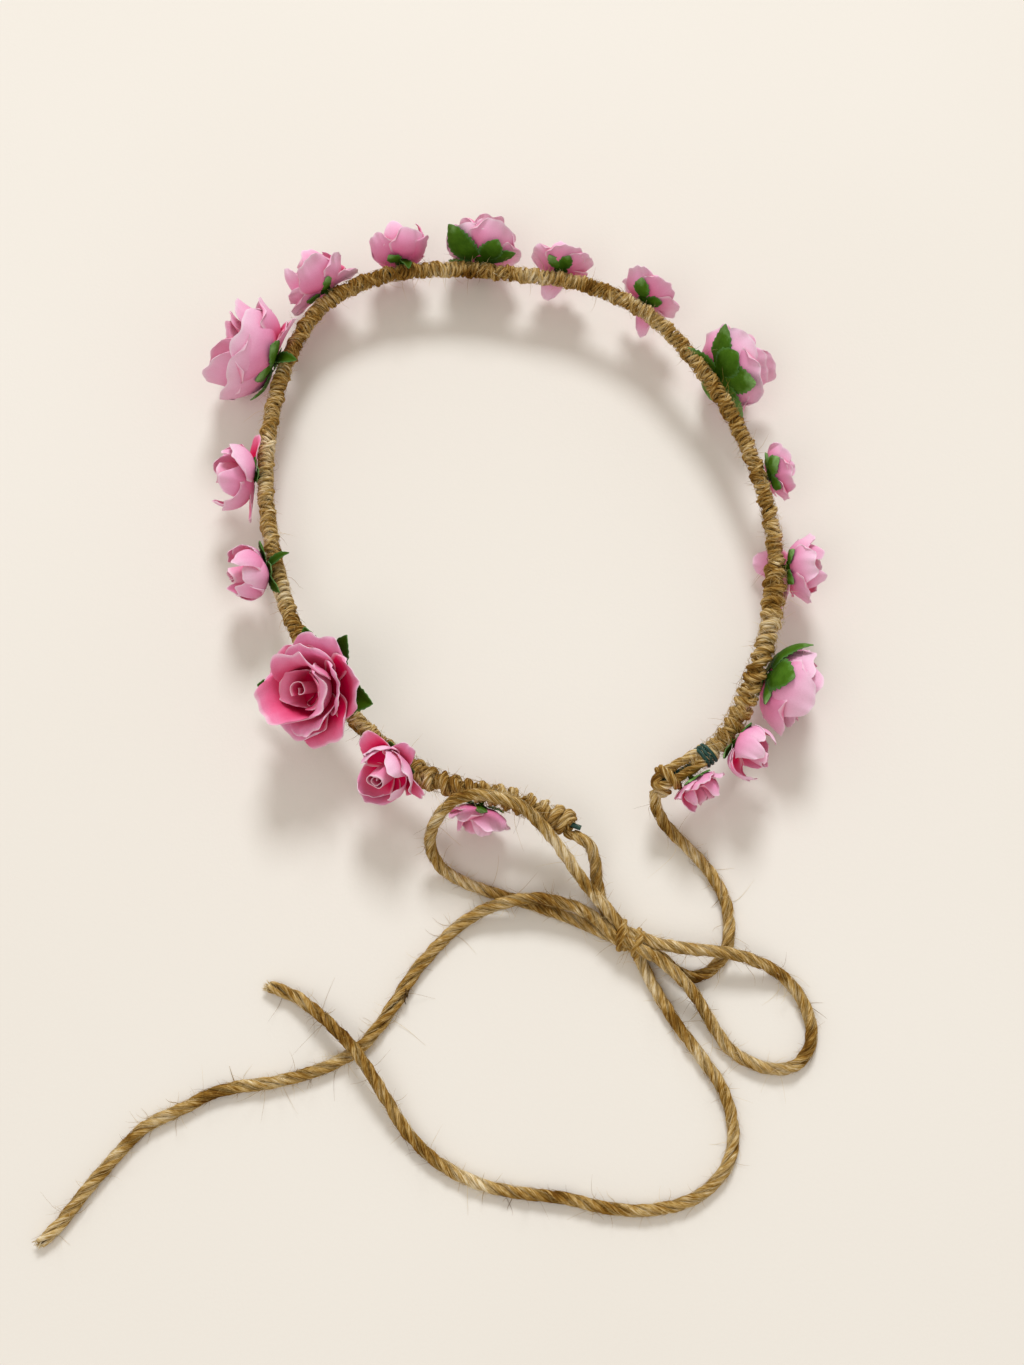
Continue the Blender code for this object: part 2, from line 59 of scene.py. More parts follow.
CORD_ROUTES = {
    "left_tie": (
        (-0.0137, -0.1068, 0.0123), (-0.0102, -0.1105, 0.0120), (-0.0094, -0.1153, 0.0085),
        (-0.0104, -0.1207, 0.0055), (-0.0108, -0.1264, 0.0040), (-0.0103, -0.1309, 0.0032),
    ),
    "left_loop": (
        (-0.0107, -0.1302, 0.0086), (-0.0134, -0.1248, 0.0098), (-0.0161, -0.1181, 0.0120),
        (-0.0189, -0.1106, 0.0150), (-0.0219, -0.1040, 0.0180), (-0.0266, -0.0965, 0.0215),
        (-0.0325, -0.0922, 0.0230), (-0.0384, -0.0891, 0.0230), (-0.0455, -0.0884, 0.0215),
        (-0.0521, -0.0912, 0.0170), (-0.0559, -0.0959, 0.0100), (-0.0548, -0.1022, 0.0042),
        (-0.0496, -0.1082, 0.0022), (-0.0437, -0.1129, 0.0018), (-0.0371, -0.1175, 0.0018),
        (-0.0291, -0.1229, 0.0018), (-0.0214, -0.1288, 0.0018), (-0.0149, -0.1344, 0.0022),
    ),
    "left_tail": (
        (-0.0133, -0.1338, 0.0056), (-0.0164, -0.1294, 0.0060), (-0.0225, -0.1247, 0.0064),
        (-0.0302, -0.1208, 0.0064), (-0.0386, -0.1193, 0.0056), (-0.0472, -0.1194, 0.0036),
        (-0.0559, -0.1219, 0.0020), (-0.0634, -0.1259, 0.0018), (-0.0711, -0.1309, 0.0018),
        (-0.0786, -0.1375, 0.0018), (-0.0855, -0.1432, 0.0018), (-0.0937, -0.1482, 0.0018),
        (-0.1042, -0.1505, 0.0018), (-0.1198, -0.1503, 0.0018), (-0.1309, -0.1485, 0.0018),
        (-0.1387, -0.1482, 0.0018), (-0.1466, -0.1497, 0.0018), (-0.1589, -0.1517, 0.0018),
        (-0.1653, -0.1549, 0.0018), (-0.1719, -0.1591, 0.0018), (-0.1789, -0.1637, 0.0018),
        (-0.1853, -0.1685, 0.0018), (-0.1905, -0.1722, 0.0018), (-0.1958, -0.1749, 0.0018),
    ),
    "right_tie": (
        (0.0142, -0.1013, 0.0132), (0.0134, -0.1052, 0.0110), (0.0147, -0.1100, 0.0070),
        (0.0178, -0.1150, 0.0036), (0.0208, -0.1201, 0.0020), (0.0234, -0.1258, 0.0018),
        (0.0250, -0.1316, 0.0018), (0.0256, -0.1373, 0.0018), (0.0249, -0.1429, 0.0018),
        (0.0231, -0.1479, 0.0018), (0.0208, -0.1520, 0.0018), (0.0168, -0.1553, 0.0018),
        (0.0127, -0.1569, 0.0018), (0.0085, -0.1569, 0.0018), (0.0052, -0.1546, 0.0018),
        (0.0028, -0.1513, 0.0018), (0.0009, -0.1483, 0.0022),
    ),
    "right_loop": (
        (0.0006, -0.1446, 0.0062), (0.0048, -0.1469, 0.0066), (0.0102, -0.1496, 0.0068),
        (0.0166, -0.1522, 0.0068), (0.0229, -0.1553, 0.0064), (0.0282, -0.1588, 0.0050),
        (0.0330, -0.1630, 0.0030), (0.0365, -0.1689, 0.0018), (0.0379, -0.1756, 0.0018),
        (0.0373, -0.1823, 0.0018), (0.0341, -0.1878, 0.0018), (0.0286, -0.1908, 0.0018),
        (0.0226, -0.1899, 0.0018), (0.0165, -0.1859, 0.0018), (0.0123, -0.1809, 0.0018),
        (0.0096, -0.1730, 0.0024), (0.0077, -0.1653, 0.0042), (0.0051, -0.1583, 0.0060),
        (0.0019, -0.1527, 0.0066), (-0.0008, -0.1487, 0.0066),
    ),
    "right_tail": (
        (-0.0051, -0.1469, 0.0030), (-0.0043, -0.1524, 0.0022), (-0.0029, -0.1597, 0.0018),
        (-0.0003, -0.1699, 0.0018), (0.0033, -0.1806, 0.0018), (0.0060, -0.1900, 0.0018),
        (0.0060, -0.1997, 0.0018), (0.0029, -0.2087, 0.0018), (-0.0036, -0.2150, 0.0018),
        (-0.0131, -0.2183, 0.0018), (-0.0256, -0.2174, 0.0018), (-0.0370, -0.2133, 0.0018),
        (-0.0478, -0.2071, 0.0018), (-0.0593, -0.2021, 0.0018), (-0.0702, -0.1961, 0.0018),
        (-0.0801, -0.1866, 0.0020), (-0.0862, -0.1762, 0.0028), (-0.0893, -0.1661, 0.0046),
        (-0.0917, -0.1574, 0.0056), (-0.0947, -0.1485, 0.0058), (-0.0983, -0.1415, 0.0054),
        (-0.1022, -0.1348, 0.0042), (-0.1076, -0.1275, 0.0024), (-0.1143, -0.1222, 0.0018),
    ),
}


# ---------------- lines and frames

TURN = 2 * np.pi
SPAN_SAMPLES = 24


def even_points(points, step):
    """The same line read again at points about step apart."""
    lengths = np.r_[0.0, np.cumsum(np.linalg.norm(np.diff(points, axis=0), axis=1))]
    count = max(2, round(float(lengths[-1]) / step))
    even = np.linspace(0.0, lengths[-1], count + 1)
    return np.stack([np.interp(even, lengths, points[:, k]) for k in range(3)], axis=1)


def smooth_line(route, step):
    """Evenly spaced points on a smooth curve through the route's points."""
    p = np.array(route, float)
    p = np.vstack([2 * p[0] - p[1], p, 2 * p[-1] - p[-2]])
    share = np.linspace(0.0, 1.0, SPAN_SAMPLES, endpoint=False)[:, None]
    spans = []
    for before, start, end, after in zip(p, p[1:], p[2:], p[3:]):
        d0 = math.sqrt(np.linalg.norm(start - before))
        d1 = math.sqrt(np.linalg.norm(end - start))
        d2 = math.sqrt(np.linalg.norm(after - end))
        slope_a = (start - before) / d0 - (end - before) / (d0 + d1) + (end - start) / d1
        slope_b = (end - start) / d1 - (after - start) / (d1 + d2) + (after - end) / d2
        s2, s3 = share**2, share**3
        spans.append(
            (2 * s3 - 3 * s2 + 1) * start
            + (s3 - 2 * s2 + share) * slope_a * d1
            + (3 * s2 - 2 * s3) * end
            + (s3 - s2) * slope_b * d1
        )
    return even_points(np.vstack([*spans, p[-2:-1]]), step)


def unit(vectors):
    return vectors / np.maximum(np.linalg.norm(vectors, axis=-1, keepdims=True), 1e-12)


def tangents(points):
    return unit(np.gradient(points, axis=0))


def round_angles(count):
    return np.linspace(0, TURN, count, endpoint=False)


def shares(count):
    """Even shares of the way, from 0 to 1."""
    return np.linspace(0.0, 1.0, count)


def seeded(number):
    return np.random.default_rng(SEED + number)


def any_phase(rng):
    return rng.uniform(0, 6.28)


def spoke(angle, first, second):
    """Direction at an angle round an axis, from two directions square to it."""
    return np.cos(angle)[..., None] * first + np.sin(angle)[..., None] * second


def carried_frames(points):
    """Tangent, normal and binormal along a line, with as little turning as it allows."""
    ahead = tangents(points)
    side = np.cross(ahead[0], (0.0, 0.0, 1.0))
    if np.linalg.norm(side) < 0.1:
        side = np.cross(ahead[0], (0.0, 1.0, 0.0))
    normals = np.empty_like(points)
    for k, direction in enumerate(ahead):
        side = side - (side @ direction) * direction
        side = side / np.linalg.norm(side)
        normals[k] = side
    return ahead, normals, np.cross(ahead, normals)


def slow_noise(rng, places, wavelength):
    """Smooth random values about -1 to 1 along a line, from a few sine waves."""
    total = np.zeros_like(places)
    for octave in range(3):
        for _ in range(3):
            wave = wavelength / 1.9**octave * rng.uniform(0.7, 1.4)
            total += np.sin(TURN * places / wave + any_phase(rng)) / 1.6**octave
    return total / 4.2


class Band:
    """Centreline of the hoop, read by distance from its left end, in metres."""

    def __init__(self, route):
        self.points = smooth_line(route, 0.001)
        self.spacing = float(np.linalg.norm(self.points[1] - self.points[0]))
        self.length = self.spacing * (len(self.points) - 1)
        self.ahead = tangents(self.points)
        self.out = unit(np.cross(self.ahead, (0.0, 0.0, -1.0)))
        self.rise = np.cross(self.ahead, self.out)

    def read(self, table, distance):
        place = np.arange(len(self.points)) * self.spacing
        return np.stack([np.interp(distance, place, table[:, k]) for k in range(3)], axis=-1)

    def around(self, distance, angle, radius):
        """Points at a distance along the band, off its centreline by radius."""
        past = np.clip(distance, 0.0, self.length) - distance
        centre = self.read(self.points, distance) - past[:, None] * self.read(self.ahead, distance)
        out, rise = self.read(self.out, distance), self.read(self.rise, distance)
        return centre + radius[:, None] * spoke(angle, out, rise)


# ---------------- meshes


def new_object(name, data):
    obj = bpy.data.objects.new(name, data)
    bpy.context.scene.collection.objects.link(obj)
    return obj


class Sheaf:
    """Gathers shells and tubes, with their named vertex values, into one mesh."""

    def __init__(self):
        self.vertices, self.faces, self.values, self.count = [], [], {}, 0

    def add(self, vertices, faces, **values):
        self.vertices.append(vertices)
        self.faces.append([tuple(int(i) + self.count for i in face) for face in faces])
        for name, value in values.items():
            self.values.setdefault(name, []).append(value)
        self.count += len(vertices)

    def build(self, name, material, body, slot, *nodes, sharp=None):
        """The piece on its body, standing for the CAD nodes that are named; slot is not used."""
        mesh = bpy.data.meshes.new(name)
        vertices = np.vstack(self.vertices)
        mesh.from_pydata(vertices.tolist(), [], [face for part in self.faces for face in part])
        for label, parts in self.values.items():
            joined = np.concatenate(parts)
            kind = "FLOAT_VECTOR" if joined.ndim == 2 else "FLOAT"
            layer = mesh.attributes.new(label, kind, "POINT")
            layer.data.foreach_set("vector" if joined.ndim == 2 else "value", joined.ravel())
        mesh.shade_smooth()
        if sharp is not None:
            mesh.set_sharp_from_angle(angle=math.radians(sharp))
        mesh.materials.append(material)
        obj = new_object(name, mesh)
        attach(obj, body)
        if nodes:
            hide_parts(*nodes)
        return obj


def tube_faces(rings, sides, closed_ends=True):
    """Quads between rings of vertices, and a cap on each end."""
    start = np.arange(rings - 1)[:, None] * sides
    k = np.arange(sides)[None, :]
    after = (k + 1) % sides
    quads = np.stack([start + k, start + after, start + after + sides, start + k + sides], -1)
    faces = [tuple(q) for q in quads.reshape(-1, 4)]
    if closed_ends:
        faces.append(tuple(range(sides - 1, -1, -1)))
        faces.append(tuple(range((rings - 1) * sides, rings * sides)))
    return faces


# Shares of the twine's thickness: a ply's radius, and how far out its centre lies for 2 or 3 plies.
PLY_RADIUS = 0.283
PLY_SWING = {2: 0.235, 3: 0.255}
# How slowly the fibre pattern changes along a ply, and how far apart two plies' patterns are.
GRAIN_STRETCH, GRAIN_SHIFT = 0.085, 7.3


def add_twine(
    sheaf, line, diameter, rng, pitch=0.018, sides=12, looseness=None, plies=3, first_taper=0.45
):
    """Twisted twine along evenly spaced points: each ply is a ridged tube on its own helix."""
    rings = len(line)
    spacing = float(np.linalg.norm(line[1] - line[0]))
    place = np.arange(rings) * spacing
    _, normal, binormal = carried_frames(line)
    loose = np.zeros(rings) if looseness is None else looseness
    local_pitch = pitch * (1 + 0.10 * slow_noise(rng, place, 5 * pitch)) * (1 + 0.6 * loose)
    phase = np.cumsum(TURN * spacing / local_pitch) + any_phase(rng)
    taper = 1 - 0.30 * np.exp(-(place[-1] - place) / (0.3 * diameter))
    taper = taper - first_taper * np.exp(-place / (0.5 * diameter))
    turn = round_angles(sides)[None, :]
    fibre = turn - (place / (1.9 * diameter))[:, None]
    for ply in range(plies):
        out = spoke(phase + TURN * ply / plies, normal, binormal)
        swing = diameter * PLY_SWING[plies] * (1 + 0.10 * slow_noise(rng, place, 6 * diameter))
        centre = line + (swing * (1 + 0.5 * loose))[:, None] * out
        ahead = tangents(centre)
        first = unit(out - (out * ahead).sum(1)[:, None] * ahead)
        second = np.cross(ahead, first)
        smooth = diameter * PLY_RADIUS * taper * (1 + 0.09 * slow_noise(rng, place, 4 * diameter))
        smooth = smooth * (1 - 0.15 * loose)
        ridge = 0.055 * np.sin(5 * fibre + any_phase(rng))
        ridge = ridge + 0.035 * np.sin(3 * fibre + place[:, None] / diameter * 1.7)
        ridge = ridge + rng.normal(0, 0.018, (rings, sides))
        radius = smooth[:, None] * (1 + ridge)
        points = centre[:, None] + radius[..., None] * spoke(turn, first[:, None], second[:, None])
        points[..., 2] = np.maximum(points[..., 2], RESTING)
        along = np.broadcast_to(place[:, None] / MM * GRAIN_STRETCH + GRAIN_SHIFT * ply, fibre.shape)
        across = [wave * smooth[:, None] / MM for wave in (np.cos(fibre), np.sin(fibre))]
        # Painted shade: the surface is darker the nearer it lies to the twine's centreline, down between the
        # plies.
        reach = np.linalg.norm(points - line[:, None], axis=2) / (0.52 * diameter)
        sheaf.add(
            points.reshape(-1, 3),
            tube_faces(rings, sides),
            grain=np.stack([*across, along], -1).reshape(-1, 3),
            hollow=np.clip((0.82 - reach) / 0.45, 0.0, 1.0).ravel(),
        )


def add_strands(sheaf, lines, radius, rng, darkness=0.0):
    """Thin fibres, tapering to a point, one along each row of points."""
    count, bends = lines.shape[:2]
    lines[..., 2] = np.maximum(lines[..., 2], 1.2 * radius)
    ahead = unit(np.gradient(lines, axis=1))
    across = unit(np.cross(ahead, rng.normal(size=(count, 1, 3))))
    other = np.cross(ahead, across)
    ring = spoke(round_angles(3), across[:, :, None], other[:, :, None])
    width = radius * (1 - 0.8 * shares(bends) ** 2)
    points = lines[:, :, None] + width[:, None, None] * ring
    each = 3 * bends
    first = each * np.arange(count)[:, None, None]
    quads = np.array(tube_faces(bends, 3, closed_ends=False))
    caps = np.array([(2, 1, 0), (each - 3, each - 2, each - 1)])
    faces = [*(quads + first).reshape(-1, 4), *(caps + first).reshape(-1, 3)]
    grain = np.repeat(rng.uniform(0, 40, (count, 3)), each, axis=0)
    sheaf.add(points.reshape(-1, 3), faces, grain=grain, hollow=np.full(count * each, darkness))


def standing_lines(roots, directions, lengths, rng, curl, bends=5):
    """Lines that leave a root in a direction and curl off it."""
    share = shares(bends)[None, :, None]
    across = unit(np.cross(directions, rng.normal(size=directions.shape)))
    other = np.cross(directions, across)
    swing = rng.normal(0, curl, (2, len(roots), 1, 1))
    bent = share * directions[:, None] + share**2 * swing[0] * across[:, None]
    bent = bent + (share**2 * swing[1] + 0.10 * np.sin(5 * share + swing[0])) * other[:, None]
    return roots[:, None] + lengths[:, None, None] * bent


# ---------------- materials


class Nodes:
    """Short way to make and join shader nodes of one material."""

    def __init__(self, name, roughness, shine=0.3):
        self.material = bpy.data.materials.new(name)
        self.material.use_nodes = True
        self.tree = self.material.node_tree
        self.shader = self.tree.nodes["Principled BSDF"]
        self.shader.inputs["Roughness"].default_value = roughness
        self.shader.inputs["Specular IOR Level"].default_value = shine

    def feed(self, socket, value):
        """Joins a socket to another node's output, or gives it a number or a colour."""
        if isinstance(value, bpy.types.NodeSocket):
            self.tree.links.new(value, socket)
        else:
            socket.default_value = (*value, 1.0) if isinstance(value, tuple) else value

    def make(self, kind, **inputs):
        node = self.tree.nodes.new(kind)
        for name, value in inputs.items():
            self.feed(node.inputs[name], value)
        return node

    def attribute(self, name, output="Fac"):
        node = self.make("ShaderNodeAttribute")
        node.attribute_name = name
        return node.outputs[output]

    def noise(self, vector, scale, detail, roughness):
        inputs = {"Vector": vector, "Scale": scale, "Detail": detail, "Roughness": roughness}
        return self.make("ShaderNodeTexNoise", **inputs).outputs["Fac"]

    def ramp(self, factor, *stops):
        node = self.make("ShaderNodeValToRGB", Fac=factor)
        band = node.color_ramp
        while len(band.elements) < len(stops):
            band.elements.new(0.5)
        for element, (place, colour) in zip(band.elements, stops):
            element.position = place
            element.color = (*colour, 1.0)
        return node.outputs["Color"]

    def mix(self, factor, a, b, blend="MIX"):
        node = self.tree.nodes.new("ShaderNodeMix")
        node.data_type = "RGBA"
        node.blend_type = blend
        for index, value in ((0, factor), (6, a), (7, b)):
            self.feed(node.inputs[index], value)
        return node.outputs[2]

    def math(self, operation, a, b):
        node = self.tree.nodes.new("ShaderNodeMath")
        node.operation = operation
        self.feed(node.inputs[0], a)
        self.feed(node.inputs[1], b)
        return node.outputs[0]

    def plus(self, a, b):
        return self.math("ADD", a, b)

    def times(self, a, b):
        return self.math("MULTIPLY", a, b)

    def place(self):
        return self.make("ShaderNodeTexCoord").outputs["Object"]

    def finish(self, colour, height, strength, distance):
        bump = self.make("ShaderNodeBump", Strength=strength, Distance=distance, Height=height)
        self.feed(self.shader.inputs["Normal"], bump.outputs["Normal"])
        self.feed(self.shader.inputs["Base Color"], colour)
        return self.material


def jute_material(name, dark, mid, light, darkening):
    """Bast fibre: long fine streaks along each ply, tan to straw, with painted shade between the plies and
    darker bark and strays.
    """
    n = Nodes(name, 0.85, 0.12)
    grain = n.attribute("grain", "Vector")
    fine = n.noise(grain, 5.5, 3.0, 0.6)
    broad = n.noise(grain, 1.6, 3.0, 0.55)
    patch = n.noise(n.place(), 75.0, 3.0, 0.55)
    streak = n.plus(n.times(fine, 0.6), n.times(broad, 0.4))
    tone = n.plus(streak, n.times(n.math("SUBTRACT", patch, 0.5), 0.60))
    colour = n.ramp(tone, (0.34, dark), (0.46, mid), (0.56, light), (0.68, (0.88, 0.76, 0.53)))
    # Mix towards dark brown: painted shade between the twine's plies, and on loose fibres the real dark of
    # bark and bolder strays.
    colour = n.mix(n.times(n.attribute("hollow"), darkening), colour, (0.055, 0.022, 0.003))
    return n.finish(colour, streak, 0.7, 0.0004)


class PaperNodes(Nodes):
    """Dyed paper: how far along the sheet and near its rim a point is, and on which face."""

    def __init__(self, name, roughness, shine, cloud, fibre_scale, dye):
        super().__init__(name, roughness, shine)
        place = self.place()
        sheet = self.make("ShaderNodeSeparateXYZ", Vector=self.attribute("petal", "Vector"))
        self.along, self.rim, self.face = sheet.outputs[0], sheet.outputs[1], sheet.outputs[2]
        self.cloud = self.noise(place, *cloud)
        self.fibres = self.noise(place, fibre_scale, 4.0, 0.7)
        self.dye = self.times(self.attribute("tone"), dye)

    def finish_paper(self, outward, inward, rim, cut, speck, bump):
        """Joins the two faces' colours, and adds the cut rim and the paper's fibres."""
        colour = self.mix(self.face, outward, inward)
        colour = self.mix(self.times(self.rim, rim), colour, cut)
        specks = self.ramp(self.fibres, (0.25, speck), (0.75, (1.0, 1.0, 1.0)))
        colour = self.mix(1.0, colour, specks, "MULTIPLY")
        return self.finish(colour, self.fibres, bump, 0.00012)


def petal_material(name, deep, mid, back, blush, pale):
    """Handmade paper, deep at the root and paler towards a whitish cut rim: the deep root is partly dye and
    partly painted shade deep between the petals, the pale outer face partly painted light.
    """
    n = PaperNodes(name, 0.68, 0.12, (260.0, 3.0, 0.5), 2600.0, 0.15)
    mottle = n.times(n.math("SUBTRACT", n.cloud, 0.5), 0.22)
    depth = n.plus(n.along, n.plus(mottle, n.dye))
    # Outer face, paler towards the tip: partly dye, partly painted light falling on it.
    outward = n.ramp(depth, (0.12, back), (0.60, blush), (1.0, pale))
    # Inner face, deep at the root: partly dye, partly painted shade deep between the petals.
    inward = n.ramp(depth, (0.42, deep), (0.76, mid), (1.0, blush))
    return n.finish_paper(outward, inward, 0.62, (0.96, 0.80, 0.88), (0.90, 0.86, 0.88), 0.22)


def leaf_material(name):
    """Green dyed paper, darker and mottled, with paler cut edges; its outer face lighter towards the tips as
    painted light, its inner face darker as painted shade.
    """
    n = PaperNodes(name, 0.62, 0.06, (330.0, 4.0, 0.6), 2400.0, 0.14)
    depth = n.plus(n.plus(n.times(n.along, 0.5), n.times(n.cloud, 0.6)), n.dye)
    dark, mid, light = (0.026, 0.075, 0.001), (0.075, 0.180, 0.011), (0.280, 0.480, 0.170)
    # Outer face: lighter towards the tip, painted light where the leaf curls out into the light.
    outward = n.ramp(depth, (0.25, dark), (0.62, mid), (0.92, light))
    # Inner face: darker all over, painted shade.
    inward = n.ramp(depth, (0.20, (0.010, 0.036, 0.0005)), (0.85, (0.050, 0.115, 0.003)))
    return n.finish_paper(outward, inward, 0.3, (0.20, 0.42, 0.17), (0.80, 0.84, 0.80), 0.3)


def wire_material(name):
    """Dark green paper tape wound round a stem wire."""
    n = Nodes(name, 0.5)
    cloud = n.noise(n.place(), 900.0, 4.0, 0.6)
    colour = n.ramp(cloud, (0.3, (0.006, 0.030, 0.022)), (0.7, (0.022, 0.085, 0.065)))
    return n.finish(colour, cloud, 0.3, 0.0002)


def floor_material():
    n = Nodes("pale_floor", 0.85)
    place = n.place()
    cloud = n.noise(place, 3.0, 2.0, 0.5)
    colour = n.ramp(cloud, (0.3, (0.83, 0.785, 0.715)), (0.7, (0.86, 0.82, 0.755)))
    fine = n.noise(place, 900.0, 3.0, 0.6)
    return n.finish(colour, fine, 0.12, 0.0003)


# ---------------- camera, light and floor


def make_camera():
    data = bpy.data.cameras.new("view_camera")
    data.lens = 50
    data.sensor_width = 36
    data.clip_start = 0.01
    camera = new_object("view_camera", data)
    camera.location = (-0.0763, -0.2480, 0.5689)
    camera.rotation_euler = (math.radians(20), 0.0, math.radians(-17))
    bpy.context.scene.camera = camera
    bpy.context.scene.view_settings.view_transform = "Standard"


def add_area_light(name, place, size, power, colour):
    """A round soft light that points at the middle of the hoop."""
    data = bpy.data.lights.new(name, "AREA")
    data.shape = "DISK"
    data.size = size
    data.energy = power
    data.color = colour
    light = new_object(name, data)
    light.location = place
    light.rotation_euler = (-Vector(place)).to_track_quat("-Z", "Y").to_euler()


def make_studio():
    add_area_light("key_light", (0.9, 2.4, 2.4), 1.1, 78.0, (0.93, 0.96, 1.0))
    add_area_light("fill_light", (-1.4, -1.2, 2.6), 2.2, 17.0, (1.0, 0.98, 0.96))
    world = bpy.data.worlds.new("soft_world")
    world.use_nodes = True
    sky = world.node_tree.nodes["Background"]
    sky.inputs["Color"].default_value = (1.0, 0.94, 0.86, 1.0)
    sky.inputs["Strength"].default_value = 0.54
    bpy.context.scene.world = world
    mesh = bpy.data.meshes.new("floor")
    half = 1.5
    corners = [(-half, -half, 0), (half, -half, 0), (half, half, 0), (-half, half, 0)]
    mesh.from_pydata(corners, [], [(0, 1, 2, 3)])
    mesh.materials.append(floor_material())
    new_object("floor", mesh)


# ---------------- loose twine of the bow

CORD_DIAMETER = 0.0035
CORD_STEP = 0.0006
# Points where a strand crosses the inside of the knot, between the routes above.
LEFT_KNOT_PASS = ((-0.0078, -0.1372, 0.0048), (-0.0035, -0.1413, 0.0062))
LEFT_KNOT_RETURN = ((-0.0048, -0.1448, 0.0066), (-0.0096, -0.1396, 0.0058))
RIGHT_KNOT_PASS = ((-0.0035, -0.1452, 0.0028), (-0.0100, -0.1392, 0.0026))
RIGHT_KNOT_RETURN = ((-0.0086, -0.1352, 0.0072), (-0.0062, -0.1408, 0.0050))
# Where each cord's twist has opened: share of its length, spread, and how much.
LEFT_LOOSENED = ((0.68, 0.03, 0.7), (0.81, 0.02, 0.4))
RIGHT_LOOSENED = ((0.175, 0.02, 0.8), (0.985, 0.02, 0.3))


def make_cord(name, nodes, route, loosened, seed, material):
    """A length of twine along a route, its plies open in places and at its end."""
    line = smooth_line(route, CORD_STEP)
    place = shares(len(line))
    looseness = 0.55 * np.exp(-(1 - place) / 0.012)
    for centre, spread, amount in loosened:
        looseness = looseness + amount * np.exp(-(((place - centre) / spread) ** 2))
    sheaf = Sheaf()
    rng = seeded(seed)
    add_twine(sheaf, line, CORD_DIAMETER, rng, looseness=looseness, first_taper=0.1)
    return sheaf.build(name, material, "hoop", "loose_twine", *nodes), line


# ---------------- wound band

# Stretches of the winding: name, start, end, twine diameter, pitch, radius of what it covers,
# and how far each turn is hitched over the one before it (0 plain, 1 a full half-hitch).
# Ends below zero are counted back from the right end of the hoop.
WINDINGS = (
    ("wound_twine_left", 0.0010, 0.1900, 0.0022, 0.00145, 0.0008, 0.0),
    ("wound_twine_front", 0.1900, -0.1900, 0.0022, 0.00145, 0.0008, 0.0),
    ("wound_twine_right", -0.1900, -0.0120, 0.0022, 0.00145, 0.0007, 0.0),
    ("crossing_twine", 0.0600, -0.0860, 0.0018, 0.0083, 0.0015, 0.0),
    ("hitched_twine_left", 0.0010, 0.0640, 0.0028, 0.0042, 0.0011, 1.0),
    ("hitched_twine_right", -0.0860, -0.0150, 0.0027, 0.0040, 0.0010, 1.0),
)
WINDING_STEP = 0.00055
# Share of the twine's thickness between its centreline and what it covers.
BURIED = 0.36


def winding_line(band, start, end, diameter, pitch, core, hitch, rng):
    """Helix of the winding: turns crowd and ride up a little, or hitch over in a spiral ridge."""
    radius = core + BURIED * diameter
    turns = (end - start) / pitch
    count = int(turns * TURN * radius / WINDING_STEP)
    turn = np.linspace(0.0, turns, count)
    share = turn % 1.0
    ridge = np.clip((share - 0.30) / 0.40, 0.0, 1.0)
    stepped = np.floor(turn) + ridge * ridge * (3 - 2 * ridge)
    distance = start + pitch * ((1 - 0.8 * hitch) * turn + 0.8 * hitch * stepped)
    drift = TURN * (1.0 - 0.06 * hitch) * turn + 1.1
    crowd = 0.0009 * slow_noise(rng, distance, 0.014)
    tilt = 0.00075 * np.sin(drift + 3.0 * slow_noise(rng, distance, 0.03))
    lump = 0.42 * diameter * hitch * np.exp(-(((share - 0.5) / 0.13) ** 2))
    lump = lump * (1 + 0.5 * slow_noise(rng, distance, 2 * pitch))
    bulge = radius * (1 + 0.12 * slow_noise(rng, distance, 0.0065)) + lump
    return even_points(band.around(distance + tilt + crowd, drift, bulge), WINDING_STEP)


def make_windings(band, material):
    for number, (name, start, end, diameter, pitch, core, hitch) in enumerate(WINDINGS):
        rng = seeded(31 + number)
        start, end = (place if place > 0 else band.length + place for place in (start, end))
        line = winding_line(band, start, end, diameter, pitch, core, hitch, rng)
        sheaf = Sheaf()
        plies = 3 if hitch or name == "crossing_twine" else 2
        add_twine(sheaf, line, diameter, rng, pitch=5.0 * diameter, sides=8, plies=plies)
        sheaf.build(name, material, "hoop", "wrapped_twine", "twine_wrap")


def angle_towards(band, distance, point):
    """Angle round the band, at a distance along it, of the side nearest to a point."""
    here = np.array([distance])
    away = point - band.read(band.points, here)[0]
    return math.atan2(away @ band.read(band.rise, here)[0], away @ band.read(band.out, here)[0])


def hitch_line(band, near, far, turns, cord, radius):
    """Turns round the band that run from near to far along it and lead into a loose cord."""
    share = shares(16 * turns + 1)
    angle = angle_towards(band, far, cord[0]) - TURN * turns * (1 - share)
    turned_part = band.around(near + (far - near) * share, angle, np.full(len(share), radius))
    return smooth_line(np.vstack([turned_part, cord[[1, 5, 9]]]), CORD_STEP)


def eye_line(band):
    """Twine laid along both sides of the right end of the wire, and round its tip."""
    rows = 14
    back = np.linspace(0.0160, 0.0016, rows)
    side = np.full(rows, 0.0025)
    side[0] = 0.0016
    going = band.around(band.length - back, np.full(rows, 0.75), side)
    returning = band.around(band.length - back[::-1], np.full(rows, np.pi - 0.6), side[::-1])
    tip = band.around(np.array([band.length + 0.0012]), np.array([1.5]), np.array([0.0016]))
    return smooth_line(np.vstack([going, tip, returning]), CORD_STEP)


END_DIAMETER, END_PITCH = 0.0029, 0.014


